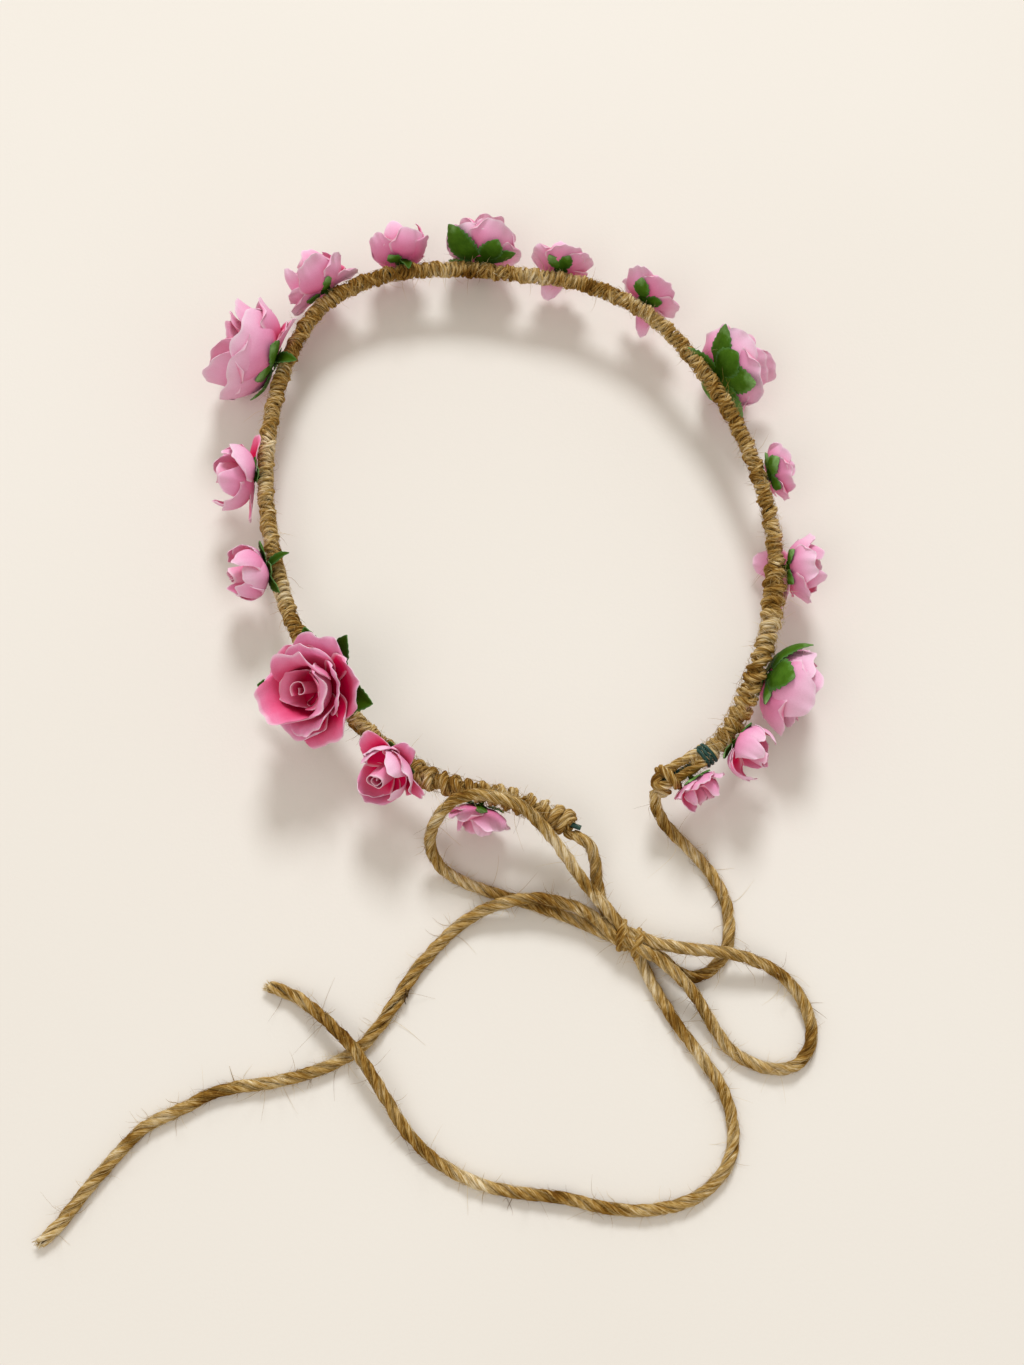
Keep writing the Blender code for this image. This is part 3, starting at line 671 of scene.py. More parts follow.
def make_end_turns(band, left_line, right_line, material):
    """Tight turns round each end of the hoop, which lead into the loose twine."""
    near, far = band.length - 0.0050, band.length - 0.0008
    left = hitch_line(band, 0.0075, 0.0012, 2, left_line, 0.0030)
    right = hitch_line(band, near, far, 1, right_line, 0.0036)
    for side, seed, lines in (("left", 51, [left]), ("right", 52, [right, eye_line(band)])):
        rng = seeded(seed)
        sheaf = Sheaf()
        for line in lines:
            add_twine(sheaf, line, END_DIAMETER, rng, pitch=END_PITCH)
        sheaf.build(side + "_end_turns", material, "hoop", "wrapped_twine", side + "_binding")


# The core wire, how far it stands out at the left end, one lap of its tape, and a stem wire.
WIRE_RADIUS, WIRE_OVERHANG, TAPE_PITCH = 0.00078, 0.0020, 0.0026
STEM_RADIUS = 0.00062


def make_stem_coil(band, material):
    """Tail of the last rose's stem wire, wound round the band beside the eye."""
    share, sides = shares(120), 8
    distance = band.length - 0.0186 + 0.0034 * share
    line = even_points(band.around(distance, TURN * 2.7 * share, 0 * share + 0.0032), 0.0006)
    _, normal, binormal = carried_frames(line)
    ring = spoke(round_angles(sides), normal[:, None], binormal[:, None])
    sheaf = Sheaf()
    sheaf.add((line[:, None] + STEM_RADIUS * ring).reshape(-1, 3), tube_faces(len(line), sides))
    sheaf.build("stem_coil", material, "hoop", "stem_wire")


def make_covered_wire(band, material):
    """Core wire with its paper tape lapped round it in a low spiral ridge."""
    distance = np.arange(-WIRE_OVERHANG, band.length - 0.0004, 0.0008)
    sides = 10
    turn, rings = round_angles(sides), []
    for place in distance:
        lap = 1 + 0.12 * ((place / TAPE_PITCH + turn / TURN) % 1.0)
        rings.append(band.around(np.full(sides, place), turn, WIRE_RADIUS * lap))
    sheaf = Sheaf()
    sheaf.add(np.vstack(rings), tube_faces(len(distance), sides))
    sheaf.build("covered_wire", material, "hoop", "stem_wire", "core_wire", sharp=60)


KNOT_CENTRE = (-0.0066, -0.1407, 0.00445)
KNOT_HEADING = math.radians(-48.6)


def make_knot(material):
    """Two turns of twine drawn tight round the crossing strands, and one lying over them."""
    rng = seeded(61)
    share = shares(220)
    angle = np.linspace(-0.6 * np.pi, 4.1 * np.pi, len(share))
    x = -0.0078 + 0.0150 * share**0.75
    swell = 1 - 0.25 * np.exp(-share / 0.08)
    y = 0.0034 * swell * np.cos(angle)
    z = 0.0027 * swell * np.sin(angle)
    c, s = math.cos(KNOT_HEADING), math.sin(KNOT_HEADING)
    line = np.stack([c * x - s * y, s * x + c * y, z], axis=1) + np.array(KNOT_CENTRE)
    sheaf = Sheaf()
    add_twine(sheaf, even_points(line, CORD_STEP), 0.0031, rng, pitch=0.016)
    return sheaf.build("knot_turns", material, "hoop", "loose_twine", "bow_knot")


# ---------------- paper roses

# Thickness of the papers, and how wide the pale rim along a cut edge is.
PAPER, LEAF_PAPER, RIM_WIDTH = 0.22, 0.26, 0.22
# How far one side of a petal lies inwards, and the other outwards, so that neighbours overlap.
SHINGLE = 0.6


class RoseFrame:
    """Where a rose sits, read from its hinge and its CAD solids, and how big it is (mm)."""

    def __init__(self, joint):
        self.name = joint["child"]
        self.number = int(self.name[-2:])
        self.nodes = [n for n in frame["nodes"] if n.startswith(self.name + "_")]
        self.large = len(self.nodes) > 2
        solid = np.vstack(
            [
                np.array([v.co for v in frame["nodes"][n].data.vertices], float)
                for n in self.nodes
                if not n.endswith("calyx")
            ]
        )
        self.origin = np.array(joint["pos_m"], float)
        along = unit(np.array(joint["axis"], float))
        facing = solid.mean(0) - self.origin
        facing = unit(facing - (facing @ along) * along)
        self.axes = np.stack([along, np.cross(facing, along), facing])
        local = (solid - self.origin) @ self.axes.T / MM
        self.radius = float(np.hypot(local[:, 0], local[:, 1]).max())
        self.height = float(local[:, 2].max())

    def world(self, points):
        placed = self.origin + (points * MM) @ self.axes
        placed[:, 2] = np.maximum(placed[:, 2], RESTING)
        return placed


def grid_normals(grid):
    rows, columns = np.gradient(grid, axis=0), np.gradient(grid, axis=1)
    return unit(np.cross(columns, rows))


def add_paper(sheaf, rose, grid, along, rim, tone, thickness=PAPER):
    """A sheet of paper from a grid of points: two faces a thickness apart and a cut edge."""
    rows, columns = grid.shape[:2]
    total = rows * columns
    shift = 0.5 * thickness * grid_normals(grid)
    index = np.arange(total).reshape(rows, columns)
    quads = np.stack([index[:-1, :-1], index[:-1, 1:], index[1:, 1:], index[1:, :-1]], -1)
    quads = quads.reshape(-1, 4)
    border = np.concatenate([index[0, :-1], index[:-1, -1], index[-1, :0:-1], index[:0:-1, 0]])
    following = np.roll(border, -1)
    edge = np.stack([following, border, border + total, following + total], -1)
    sides = [np.stack([along, rim, np.full_like(along, side)], -1) for side in (0.0, 1.0)]
    sheaf.add(
        rose.world(np.concatenate([grid + shift, grid - shift]).reshape(-1, 3)),
        np.concatenate([quads, quads[:, ::-1] + total, edge]),
        petal=np.concatenate(sides).reshape(-1, 3),
        tone=np.full(2 * total, tone),
    )


def profile(root, length, angles, reach):
    """Radius, height and inward normal at shares of the way along a bent strip.

    The angles are degrees from the way that the rose faces, at even steps along the strip.
    """
    fine = np.linspace(0.0, 1.2, 61)
    bend = np.radians(np.interp(fine, shares(len(angles)), angles))
    step = fine[1] * length
    radius = root[0] + np.r_[0.0, np.cumsum(np.sin(bend[1:]) * step)]
    height = root[1] + np.r_[0.0, np.cumsum(np.cos(bend[1:]) * step)]
    at = [np.interp(reach, fine, values) for values in (radius, height, bend)]
    return at[0], at[1], -np.cos(at[2]), np.sin(at[2])


def turned(grid, azimuth):
    c, s = math.cos(math.radians(azimuth)), math.sin(math.radians(azimuth))
    x, y = grid[..., 0], grid[..., 1]
    return np.stack([c * x - s * y, s * x + c * y, grid[..., 2]], -1)


# How far a flat leaf's halves rise from its midrib, for each millimetre away from it.
LEAF_CREASE = 0.22
# Radius to which a leaf that doesn't lie against the petals is curved across.
LEAF_CURVE = 60.0


def add_bent_paper(sheaf, rose, rng, azimuth, bent, side, off, u, v, half, length, thickness=PAPER):
    """A petal or leaf from its bent middle line, how far each point is to the side and off it."""
    radius, height, inward_r, inward_z = bent
    grid = np.stack([radius + inward_r * off, side, height + inward_z * off], -1)
    gap = np.minimum((1 - np.abs(u)) * half, (1 - v) * length * np.ones_like(u))
    rim = np.exp(-gap / RIM_WIDTH)
    along = np.broadcast_to(v, gap.shape)
    add_paper(sheaf, rose, turned(grid, azimuth), along, rim, rng.uniform(-1, 1), thickness)


def add_petal(sheaf, rose, rng, azimuth, root, length, width, angles, cup, curl, ruffle, point):
    """One petal: a broad rounded fan that wraps round the rose, with rolled-back shoulders."""
    rows, columns = 17, 19
    u = np.linspace(-1.0, 1.0, columns)[None, :]
    v = (shares(rows) ** 0.9)[:, None]
    nick = 0.022 * np.sin(4 * u + any_phase(rng)) + 0.008 * np.sin(11 * u + any_phase(rng))
    tip = point * np.exp(-((u / 0.22) ** 2)) * v**4
    shut = min(max((40 - angles[-1]) / 80, 0.0), 1.0)
    reach = v * (1 - (0.05 + 0.22 * shut) * u**2 - 0.27 * np.abs(u) ** 6 + tip + nick * v**2)
    half = 0.5 * width * (0.36 + 0.64 * np.sin(0.5 * np.pi * np.minimum(1.45 * v, 1.0)) ** 0.8)
    half = half * (1 - 0.26 * np.clip((v - 0.60) / 0.40, 0, 1) ** 2.2)
    x = half * (u + rng.normal(0, 0.06) * v**2)
    bend = np.maximum(cup * (0.72 + 0.28 * v), 0.36 * width / np.pi)
    lift = bend * (1 - np.cos(x / bend))
    lean = rng.uniform(-0.6, 0.6)
    back = curl * np.abs(u) ** 2.8 * (1 + lean * u) * v**2.5
    wave = np.sin(1.9 * np.pi * u + any_phase(rng))
    wave = wave + 0.5 * np.sin(4.1 * np.pi * u + any_phase(rng))
    crease = 0.09 * np.sin(3.1 * u + 5 * v + any_phase(rng))
    crease = crease + 0.045 * np.sin(9 * u + 2 * v + any_phase(rng))
    shingle = SHINGLE * u * np.minimum(3 * v, 1.0)
    off = lift - back + ruffle * v**2.5 * wave + crease * v + shingle
    bent, side = profile(root, length, angles, reach), bend * np.sin(x / bend)
    add_bent_paper(sheaf, rose, rng, azimuth, bent, side, off, u, v, half, length)


def add_rolled_strip(sheaf, rose, rng, turns, inner, outer, low, high, flare, start, dip=0.0):
    """A paper strip rolled into a spiral, its upper edge scalloped and flared."""
    columns, rows = int(34 * turns), 10
    share = shares(columns)[None, :]
    v = shares(rows)[:, None]
    angle = TURN * turns * share + math.radians(start)
    scallop = 0.55 * np.sin(angle * 1.37 + any_phase(rng)) + 0.3 * np.sin(angle * 2.9 + 1.0)
    top = high - dip * (1 - share) + scallop
    radius = inner + (outer - inner) * share**0.85
    radius = radius * (1 + 0.10 * np.sin(2 * angle + 0.7) + 0.06 * np.sin(3 * angle + 2.0))
    radius = radius * (0.62 + 0.38 * np.sin(np.pi * np.minimum(0.25 + 0.6 * v, 1.0)))
    radius = radius + flare * v**4 * (0.4 + 0.6 * share)
    height = low + (top - low) * v
    grid = np.stack([radius * np.cos(angle), radius * np.sin(angle), height], -1)
    rim = np.exp(-(1 - v) * (top - low) / 0.28)
    along = np.broadcast_to(0.1 + 0.75 * v, rim.shape)
    add_paper(sheaf, rose, grid, along, rim, rng.uniform(-1, 1))


def add_leaf(sheaf, rose, rng, azimuth, length, width, angles, root, bend):
    """One cut leaf: pointed, toothed along both sides and creased down its middle."""
    rows, columns = 34, 9
    u = np.linspace(-1.0, 1.0, columns)[None, :]
    v = shares(rows)[:, None]
    shape = np.sin(np.pi * np.clip(0.20 + 0.80 * v, 0, 1) ** 1.12) ** 0.74
    shape = np.maximum(shape, 0.03)
    teeth = max(3, round(length / 1.8))
    tooth = ((v * teeth) % 1.0) * (v > 0.10) * (v < 0.97)
    half = 0.5 * width * shape * (1 + 0.22 * (tooth - 0.5) * np.abs(u) ** 5)
    x = half * u
    wave = 0.25 * np.sin(3.0 * v * np.pi + any_phase(rng)) * np.abs(u) ** 2
    lift = bend * (1 - np.cos(x / bend))
    off = lift + LEAF_CREASE * np.abs(x) * (bend > 30) + wave * v + 0.08 * np.sin(4 * u + 6 * v)
    bent, side = profile(root, length, angles, v * np.ones_like(u)), bend * np.sin(x / bend)
    add_bent_paper(sheaf, rose, rng, azimuth, bent, side, off, u, v, half, length, LEAF_PAPER)


def add_stem(sheaf, rose, base):
    """Stem wire from the band and the green cone that it widens into under the petals."""
    spots = np.array([1.4, 2.2, 2.8, base - 0.6, base - 0.3, base, base + 0.4, base + 0.8])
    sizes = np.array([0.7, 0.72, 0.75, 0.85, 1.5, 2.2, 2.5, 1.6])
    sides = 14
    turn = round_angles(sides)[None, :]
    radius = sizes[:, None] * (1 + 0.05 * np.sin(5 * turn))
    points = [radius * np.cos(turn), radius * np.sin(turn), spots[:, None] + 0 * turn]
    points = np.stack(points, -1).reshape(-1, 3)
    # The cone takes the leaf paper's darker inner face, with its painted shade.
    sheaf.add(
        rose.world(points), tube_faces(len(spots), sides),
        petal=np.tile([0.2, 0.0, 1.0], (len(points), 1)), tone=np.zeros(len(points)),
    )


# How each rose was opened and turned: openness (0 shut, 1 flat), azimuth of its first petal,
# and its leaves as (azimuth, length, width, bend angles). Azimuth 270 is the rose's upper side.
HUG, SPREAD, BACK = None, (91, 82, 74), (112, 146, 165)
STYLES = {
    1: (0.75, 15, ((262, 6, 4.5, SPREAD), (30, 6, 4.5, HUG), (150, 6, 4.5, HUG))),
    2: (0.18, 210, ((205, 6.5, 5, SPREAD), (300, 6, 4.5, HUG), (70, 6, 5, HUG))),
    3: (0.85, 20, ((338, 18.5, 10, (94, 88, 84)), (286, 18.6, 9, (94, 82, 70)), (216, 18.2, 10, (94, 86, 80)),
                   (48, 22, 9, (94, 82, 76)), (140, 13, 8, HUG))),
    4: (0.02, 250, ((325, 9, 6, (94, 80, 66)), (300, 9, 3.6, BACK), (214, 11, 4.5, (94, 94, 96)),
                    (255, 5, 5, HUG), (100, 6, 5, HUG))),
    5: (0.22, 285, ((300, 6.5, 4.5, SPREAD), (255, 6.5, 5, HUG), (120, 6, 5, HUG))),
    6: (0.42, 266, ((205, 12, 7, (97, 74, 60)), (262, 11, 9, HUG), (270, 9, 4.2, BACK),
                    (158, 13, 7, HUG), (60, 12, 8, HUG))),
    7: (0.60, 330, ((280, 7, 4.5, SPREAD), (180, 6, 5, HUG), (60, 6, 5, HUG))),
    8: (0.40, 222, ((290, 6, 3.6, BACK), (235, 5, 5, HUG), (60, 6, 5, HUG))),
    9: (0.60, 240, ((222, 15, 10.5, HUG), (300, 9, 8, HUG),
                    (340, 11, 6, SPREAD), (90, 11, 8, HUG), (150, 12, 8, HUG))),
    10: (0.85, 210, ((240, 6.5, 4.5, SPREAD), (292, 7, 4.5, SPREAD), (90, 6, 5, SPREAD))),
    11: (0.85, 225, ((252, 7, 6, HUG), (330, 6, 4.5, SPREAD), (110, 6.5, 5, SPREAD))),
    12: (0.65, 265, ((237, 16, 9, (92, 76, 66)), (322, 15, 10, (92, 80, 72)),
                     (15, 15, 7, SPREAD), (182, 14, 6.5, (112, 118, 122)), (95, 12, 8, HUG),
                     (275, 10, 11, HUG))),
    13: (0.70, 245, ((262, 7, 6.5, HUG), (330, 6, 5, HUG), (190, 6, 4.5, SPREAD), (90, 6, 5, HUG))),
    14: (0.55, 285, ((245, 5.5, 4.5, HUG), (330, 6, 4.5, HUG), (90, 6, 5, SPREAD))),
    15: (0.40, 230, ((276, 12.5, 11, HUG), (212, 16, 8, HUG),
                     (335, 10, 7, SPREAD), (90, 12, 8, HUG), (150, 12, 8, HUG))),
    16: (0.02, 240, ((228, 8, 6, (95, 70, 62)), (330, 6, 5, HUG), (90, 6, 5, HUG))),
    17: (0.80, 180, ((262, 6.5, 4.5, SPREAD), (225, 6, 4.5, SPREAD), (292, 5.5, 4.5, SPREAD))),
}


# Petals bent back by hand: azimuth, length, width and bend angles of each.
LOOSE_PETALS = {
    2: ((338, 12, 11, (87, 80, 76, 84)), (258, 9.5, 8.5, (90, 82, 86, 100)), (172, 12, 6.5, (87, 82, 80))),
    5: ((345, 12.5, 9, (94, 92, 92)), (160, 13, 8, (94, 88, 84, 90))),
    6: ((338, 13.5, 13, (94, 94, 98, 104)), (312, 12, 12, (92, 88, 92, 98))),
    7: ((172, 12, 10, (94, 90, 88, 96)), (8, 11.5, 11, (94, 90, 92, 100))),
    10: ((112, 12.5, 8, (96, 106, 116)),),
    11: ((78, 12, 7, (96, 104, 110)),),
    14: ((118, 15, 11, (96, 114, 132, 138)), (20, 13, 8, (94, 96, 104)), (60, 12, 9, (94, 100, 110))),
}

# Bend angles of a petal, root to rim, in a shut rose and in an open one, for each whorl.
OUTER = ((93, 78, 30, 0, -24), (95, 86, 66, 58, 98))
MIDDLE = ((90, 66, 16, -6, -16), (90, 68, 38, 28, 86))
INNER = ((88, 56, 8, -8, -14, -10), (86, 50, 10, 4, 40, 108))
BALL = ((90, 74, 26, -10, -40), (88, 62, 18, -6, -16))
# How far a petal's tip is notched or stands out, as a share of its length.
TIPS = (-0.05, 0.0, 0.0, 0.05)
# Radius and height at which the outer petals leave the stem.
LARGE_ROOT, SMALL_ROOT = (2.0, 4.2), (1.5, 3.9)
ON_THICK_BAND = (1, 2, 15, 16, 17)
LOW_HEARTED = (1, 10, 11, 13, 17)


def between(shut_and_open, openness):
    """Bend angles part of the way from a shut petal's to an open one's."""
    return [a + (b - a) * openness for a, b in zip(*shut_and_open)]


def length_to(root, reach, angles):
    """Length at which a bent strip reaches a radius or a height, whichever comes first."""
    bend = np.radians(np.interp(shares(30), shares(len(angles)), angles))
    by_radius = (reach[0] - root[0]) / max(float(np.sin(bend).mean()), 0.2)
    by_height = (reach[1] - root[1]) / max(float(np.cos(bend).mean()), 0.2)
    return min(by_radius, by_height)


def whorl(sheaf, rose, rng, count, first, root, reach, width, pair, openness, cup, curl, ruffle):
    """Petals evenly round the rose, each a little different, that reach to a radius or height."""
    for k in range(count):
        azimuth = first + 360.0 * k / count + rng.normal(0, 7)
        opened = openness + rng.normal(0, 0.08)
        bent = [angle + rng.normal(0, 3) for angle in between(pair, opened)]
        length = length_to(root, reach, bent) * rng.uniform(0.84, 1.0)
        wide = width * rng.uniform(0.90, 1.10)
        rolled = curl * (0.12 + 1.3 * openness**2) * rng.uniform(0.1, 1.2)
        tip = rng.choice(TIPS)
        add_petal(sheaf, rose, rng, azimuth, root, length, wide, bent, cup, rolled, ruffle, tip)


def lifted(root, rise, inwards=0.0):
    return (root[0] - inwards, root[1] + rise)


def root_of(rose):
    """Where the outer petals leave the stem: higher on the thick ends of the band."""
    return lifted(LARGE_ROOT if rose.large else SMALL_ROOT, 0.6 * (rose.number in ON_THICK_BAND))


def add_loose_petals(sheaf, rose, root, rng):
    """The petals of a rose that have been bent right back, some of them past the band."""
    root = lifted(root, -0.3)
    for azimuth, length, width, angles in LOOSE_PETALS.get(rose.number, ()):
        cup = 0.9 * width
        add_petal(sheaf, rose, rng, azimuth, root, length, width, angles, cup, 0.4, 0.3, 0.0)


def make_large_rose(rose):
    openness, first, _ = STYLES[rose.number]
    r, h = rose.radius, rose.height
    root = root_of(rose)
    wide = 2.10 - 0.94 * openness
    rng = seeded(100 + rose.number)
    outer, inner, bud = Sheaf(), Sheaf(), Sheaf()
    whorl(outer, rose, rng, 5, first, root, (r, 0.92 * h), wide * r,
          OUTER, openness, r, 1.1, 0.2 + 0.4 * openness)
    whorl(outer, rose, rng, 4, first + 36, lifted(root, 0.6), (0.82 * r, 0.96 * h), 0.85 * wide * r,
          MIDDLE, openness, 0.8 * r, 0.9, 0.2 + 0.35 * openness)
    add_loose_petals(outer, rose, root, rng)
    whorl(inner, rose, rng, 3, first + 60, lifted(root, 1.2, 0.4), (0.68 * r, h), 1.25 * r,
          INNER, openness, 0.55 * r, 0.7, 0.35)
    whorl(bud, rose, rng, 2, first + 20, lifted(root, 1.8, 0.9), (0.45 * r, 0.94 * h), 1.0 * r,
          INNER, 0.8 * openness, 0.34 * r, 0.5, 0.25)
    add_rolled_strip(bud, rose, rng, 1.2, 0.6, 0.14 * r, 6.0, h - 5.0, 0.9, first, dip=1.2)
    return (
        ("outer_whorl", outer, "petal_paper", "outer_petals"),
        ("inner_whorl", inner, "inner_petal_paper", "inner_petals"),
        ("rolled_bud", bud, "bud_paper", "bud"),
    )


def make_small_rose(rose):
    openness, first, _ = STYLES[rose.number]
    r, h = rose.radius, rose.height
    root = root_of(rose)
    rng = seeded(100 + rose.number)
    petals, bud = Sheaf(), Sheaf()
    whorl(petals, rose, rng, 3 if openness < 0.3 else 5, first, root, (r, 0.84 * h),
          (1.5 - 0.3 * openness) * r, OUTER, openness, (0.9 + 0.4 * openness) * r, 0.8, 0.4)
    ball = (0.84 - 0.28 * openness) * r
    heart = 0.80 if rose.number in LOW_HEARTED else 1.0
    whorl(petals, rose, rng, 4, first + 40, lifted(root, 0.5, 0.2), (ball, heart * h), 1.45 * ball,
          BALL, 0.8 * openness, 0.95 * ball, 0.4, 0.25)
    top = (heart - 0.04) * h
    add_rolled_strip(bud, rose, rng, 2.2, 0.35, 0.30 * r, 5.0, top, 0.35, first, dip=0.9)
    add_loose_petals(petals, rose, root, rng)
    return ("petals", petals, "petal_paper", "blossom"), ("rolled_bud", bud, "bud_paper")


def make_leaves(rose):
    openness, _, leaves = STYLES[rose.number]
    root = root_of(rose)
    petal = between(OUTER, openness)
    whole = length_to(root, (rose.radius, 0.94 * rose.height), petal)
    rng = seeded(200 + rose.number)
    sheaf = Sheaf()
    add_stem(sheaf, rose, root[1] - 0.4)
    for azimuth, length, width, angles in leaves:
        bend, start = LEAF_CURVE, (1.4, root[1] - 0.5)
        if angles is HUG:
            angles = np.interp(min(1.0, length / whole) * shares(5), shares(5), petal) + 3
            bend, start = 0.95 * rose.radius, (root[0] + 0.9, root[1] - 0.6)
        add_leaf(sheaf, rose, rng, azimuth, length, width, angles, start, bend)
    return "leaves", sheaf, "leaf_paper", "calyx"


def make_roses(papers):
    for joint in frame["joints"]:
        rose = RoseFrame(joint)
        flower = (make_large_rose if rose.large else make_small_rose)(rose)
        for part, sheaf, slot, *nodes in (*flower, make_leaves(rose)):
            nodes = [f"{rose.name}_{node}" for node in nodes]
            sheaf.build(f"{rose.name}_{part}", papers[slot], rose.name, slot, *nodes, sharp=50)


# ---------------- loose fibres

# Radii of fine fibres, of the bolder strays, of the tuft at a cord's end and of the bark.
FIBRE_RADIUS, BOLD_RADIUS, TUFT_RADIUS, BARK_RADIUS = 0.00006, 0.00013, 0.00014, 0.00036
# How many fibres of each kind there are on the band and on each cord.
BAND_LYING, BAND_STANDING = 5000, 1500
CORD_LYING, CORD_STANDING, CORD_BOLD, CORD_TUFT, CORD_BARK = 2300, 700, 20, 46, 9


def fibre_lengths(rng, count, usual, longest):
    """Mostly short fibres, a few long ones."""
    return np.minimum(usual * rng.lognormal(0.0, 0.6, count), longest)


def winding_radius(band, distance):
    """Radius of the winding's surface: thicker along the hitched stretch at each end."""
    from_left = np.clip((0.066 - distance) / 0.006, 0.0, 1.0)
    from_right = np.clip((distance - band.length + 0.088) / 0.006, 0.0, 1.0)
    return 0.0026 + 0.0009 * np.maximum(from_left, from_right)


def make_band_fibres(band, material):
    """Fibres wrapped over the winding, and shorter ones that stand off it."""
    rng = seeded(300)
    sheaf = Sheaf()
    count, bends = BAND_LYING, 6
    share = shares(bends)[None, :]
    start = rng.uniform(0.001, band.length - 0.001, (count, 1))
    heading = rng.normal(0.0, 0.35, (count, 1)) + rng.choice([0.0, 0.9], (count, 1), p=[0.8, 0.2])
    length = rng.uniform(0.002, 0.007, (count, 1)) * rng.choice([-1.0, 1.0], (count, 1))
    surface = winding_radius(band, start)
    distance = start + length * np.sin(heading) * share
    angle = rng.uniform(0, TURN, (count, 1)) + length * np.cos(heading) * share / surface
    lift = rng.uniform(-0.00035, 0.0001, (count, 1)) + rng.exponential(0.0004, (count, 1)) * share**3
    radius = surface + lift
    lines = band.around(distance.ravel(), angle.ravel(), radius.ravel()).reshape(count, bends, 3)
    add_strands(sheaf, lines, FIBRE_RADIUS, rng)
    count = BAND_STANDING
    distance = rng.uniform(0.001, band.length - 0.001, count)
    angle = rng.uniform(0, TURN, count)
    roots = band.around(distance, angle, winding_radius(band, distance) - 0.0003)
    out = unit(roots - band.around(distance, angle, 0 * angle))
    ahead = band.read(band.ahead, distance)
    directions = unit(
        rng.uniform(0.15, 0.8, (count, 1)) * out
        + rng.normal(0, 0.6, (count, 1)) * ahead
        + rng.normal(0, 0.9, (count, 1)) * np.cross(ahead, out)
    )
    lengths = fibre_lengths(rng, count, 0.0018, 0.0070)
    add_strands(sheaf, standing_lines(roots, directions, lengths, rng, 0.5), FIBRE_RADIUS, rng)
    sheaf.build("band_fibres", material, "hoop", "wrapped_twine")


def add_bark(sheaf, line, share, rng):
    """A dark flake of bark left in the fibre, on the upper side of the twine."""
    count = CORD_BARK
    at = round(share * (len(line) - 1)) + rng.integers(-3, 4, count)
    ahead = tangents(line)[at]
    side = unit(np.cross((0.0, 0.0, 1.0), ahead))
    out = unit(0.8 * np.cross(ahead, side) + rng.uniform(0.3, 1.2, (count, 1)) * side)
    roots = line[at] + 0.42 * CORD_DIAMETER * out
    directions = unit(ahead + rng.normal(0, 0.25, (count, 3)) + 0.35 * side)
    lengths = rng.uniform(0.0015, 0.0038, count)
    flake = standing_lines(roots, directions, lengths, rng, 0.2)
    add_strands(sheaf, flake, BARK_RADIUS, rng, darkness=1.0)


def make_cord_fibres(name, line, seed, material, bark_at=None):
    """Fibres that lie along the loose twine, others that stray off it, and a tuft at its end."""
    rng = seeded(seed)
    sheaf = Sheaf()
    ahead, normal, binormal = carried_frames(line)
    count, bends = CORD_LYING, 9
    share = shares(bends)[None, :]
    length = rng.uniform(0.004, 0.014, (count, 1))
    start = rng.uniform(0, len(line) - 1 - length / CORD_STEP)
    at = np.clip(np.rint(start + length * share / CORD_STEP), 0, len(line) - 1).astype(int)
    angle = rng.uniform(0, TURN, (count, 1)) + TURN * length * share / 0.018
    angle = angle + rng.normal(0, 0.5, (count, 1)) * share
    lift = rng.uniform(-0.0003, 0.0001, (count, 1)) + rng.exponential(0.0005, (count, 1)) * share**4
    out = spoke(angle, normal[at], binormal[at])
    add_strands(sheaf, line[at] + (0.5 * CORD_DIAMETER + lift)[..., None] * out, FIBRE_RADIUS, rng)
    count = CORD_STANDING
    at = rng.integers(4, len(line) - 2, count)
    out = spoke(rng.uniform(0, TURN, count), normal[at], binormal[at])
    roots = line[at] + 0.44 * CORD_DIAMETER * out
    directions = unit(
        rng.uniform(0.1, 0.6, (count, 1)) * out
        + rng.choice([-1.0, 1.0], (count, 1)) * rng.uniform(0.4, 1.2, (count, 1)) * ahead[at]
        + rng.normal(0, 0.4, (count, 1)) * np.cross(ahead[at], out)
    )
    lengths = fibre_lengths(rng, count, 0.0024, 0.0065)
    add_strands(sheaf, standing_lines(roots, directions, lengths, rng, 0.8, 7), FIBRE_RADIUS, rng)
    count = CORD_BOLD
    lengths = rng.uniform(0.0018, 0.0042, count)
    curled = standing_lines(roots[:count], directions[:count], lengths, rng, 0.8, 9)
    add_strands(sheaf, curled, BOLD_RADIUS, rng, darkness=0.35)
    if bark_at is not None:
        add_bark(sheaf, line, bark_at, rng)
    count = CORD_TUFT
    out = spoke(rng.uniform(0, TURN, count), normal[-1], binormal[-1])
    roots = line[-2] + rng.uniform(0.0, 0.36, (count, 1)) * CORD_DIAMETER * out
    directions = unit(ahead[-1] + rng.uniform(0.0, 0.30, (count, 1)) * out)
    lengths = rng.uniform(0.0008, 0.0024, count)
    add_strands(sheaf, standing_lines(roots, directions, lengths, rng, 0.2), TUFT_RADIUS, rng)
    sheaf.build(name, material, "hoop", "loose_twine")


# Jute: dark, middle and light, and how much it is darkened: by painted shade between the plies of the twine,
# and on the fibres by the dark of bark and bolder strays.
LOOSE_JUTE = (0.095, 0.032, 0.001), (0.30, 0.150, 0.020), (0.59, 0.400, 0.140), 0.95
WOUND_JUTE = (0.090, 0.030, 0.001), (0.29, 0.143, 0.019), (0.58, 0.400, 0.145), 0.6
FIBRE_JUTE = (0.17, 0.075, 0.008), (0.42, 0.255, 0.060), (0.70, 0.54, 0.27), 0.9
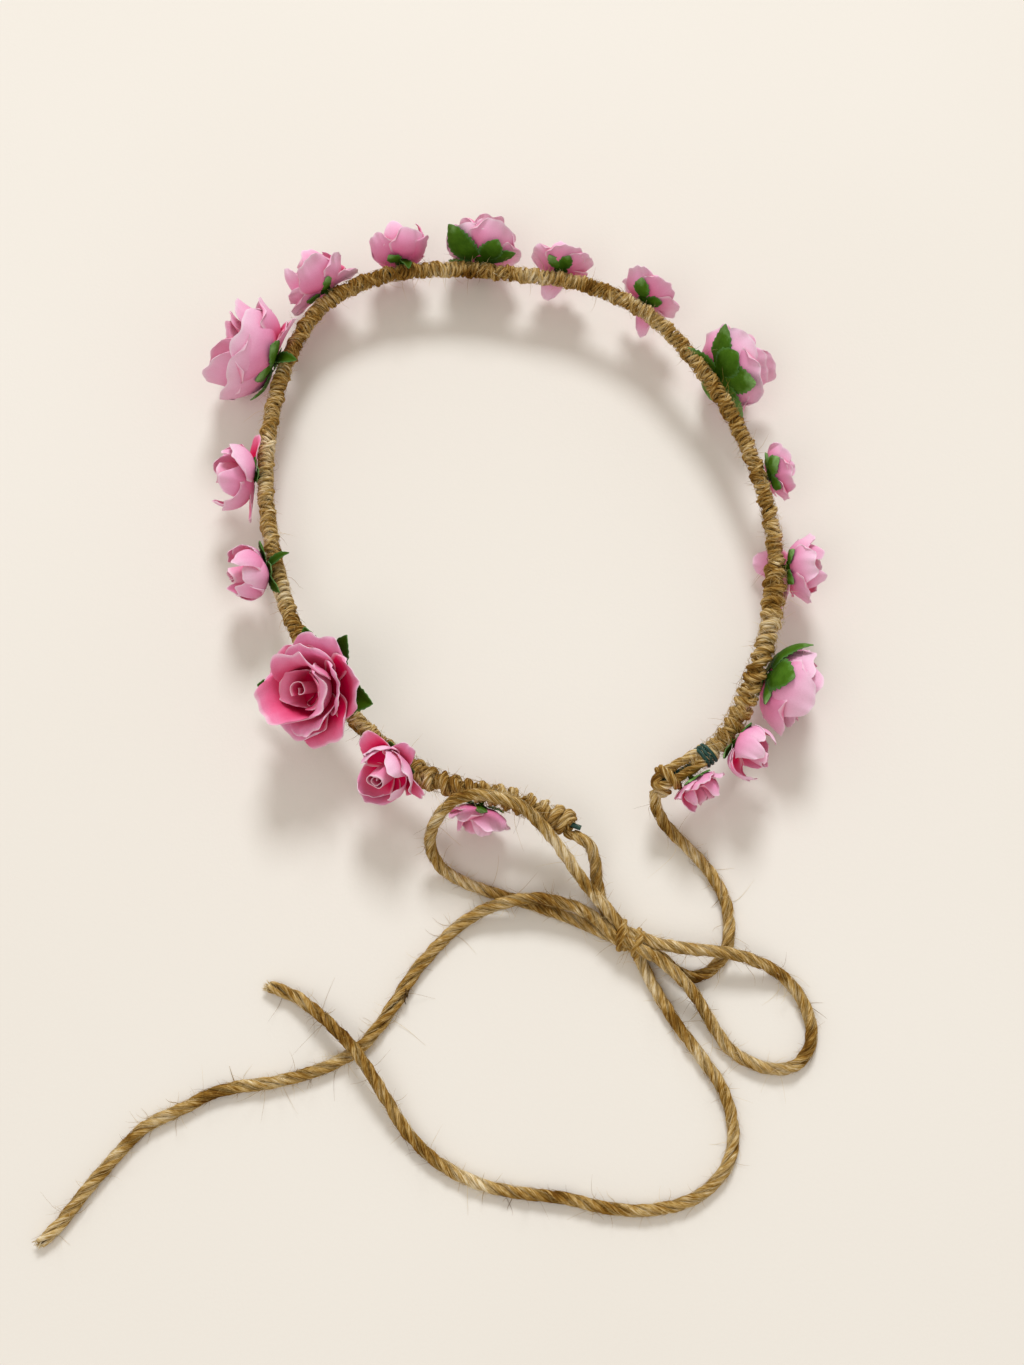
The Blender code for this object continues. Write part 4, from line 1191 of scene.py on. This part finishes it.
# Petal papers: the root and middle of the inner side, the root outside, blush, and pale tip.
# The inner root is partly dye and partly painted shade deep between the petals, the outer face's pale tip
# partly painted light; the inner and bud papers are a little deeper.
PETAL_DYE_AND_PAINTED_LIGHT = {
    "petal_paper": (
        (0.80, 0.004, 0.110), (0.85, 0.190, 0.350), (0.80, 0.150, 0.340), (0.88, 0.360, 0.570),
        (0.95, 0.61, 0.78),
    ),
    "inner_petal_paper": (
        (0.78, 0.002, 0.100), (0.85, 0.150, 0.310), (0.80, 0.130, 0.310), (0.88, 0.330, 0.530),
        (0.95, 0.58, 0.75),
    ),
    "bud_paper": (
        (0.66, 0.002, 0.080), (0.82, 0.130, 0.290), (0.78, 0.110, 0.270), (0.87, 0.290, 0.470),
        (0.93, 0.52, 0.69),
    ),
}

make_camera()
make_studio()
loose_jute = jute_material("loose_jute", *LOOSE_JUTE)
wound_jute = jute_material("wound_jute", *WOUND_JUTE)
fibre_jute = jute_material("fibre_jute", *FIBRE_JUTE)
routes = CORD_ROUTES
left_cord, left_line = make_cord(
    "left_cord", ("left_tie", "right_loop", "left_tail"),
    [*routes["left_tie"], *LEFT_KNOT_PASS, *routes["right_loop"], *LEFT_KNOT_RETURN,
     *routes["left_tail"]],
    LEFT_LOOSENED, 11, loose_jute,
)
right_cord, right_line = make_cord(
    "right_cord", ("right_tie", "left_loop", "right_tail"),
    [*routes["right_tie"], *RIGHT_KNOT_PASS, *routes["left_loop"][::-1], *RIGHT_KNOT_RETURN,
     *routes["right_tail"]],
    RIGHT_LOOSENED, 12, loose_jute,
)
band = Band(HOOP_ROUTE)
make_windings(band, wound_jute)
make_end_turns(band, left_line, right_line, wound_jute)
stem_tape = wire_material("stem_wire_tape")
make_covered_wire(band, stem_tape)
make_stem_coil(band, stem_tape)
knot = make_knot(loose_jute)
make_band_fibres(band, fibre_jute)
make_cord_fibres("left_cord_fibres", left_line, 310, fibre_jute, bark_at=0.668)
make_cord_fibres("right_cord_fibres", right_line, 311, fibre_jute)
papers = {slot: petal_material(slot, *dye_and_painted_light) for slot, dye_and_painted_light in PETAL_DYE_AND_PAINTED_LIGHT.items()}
make_roses({**papers, "leaf_paper": leaf_material("leaf_paper")})
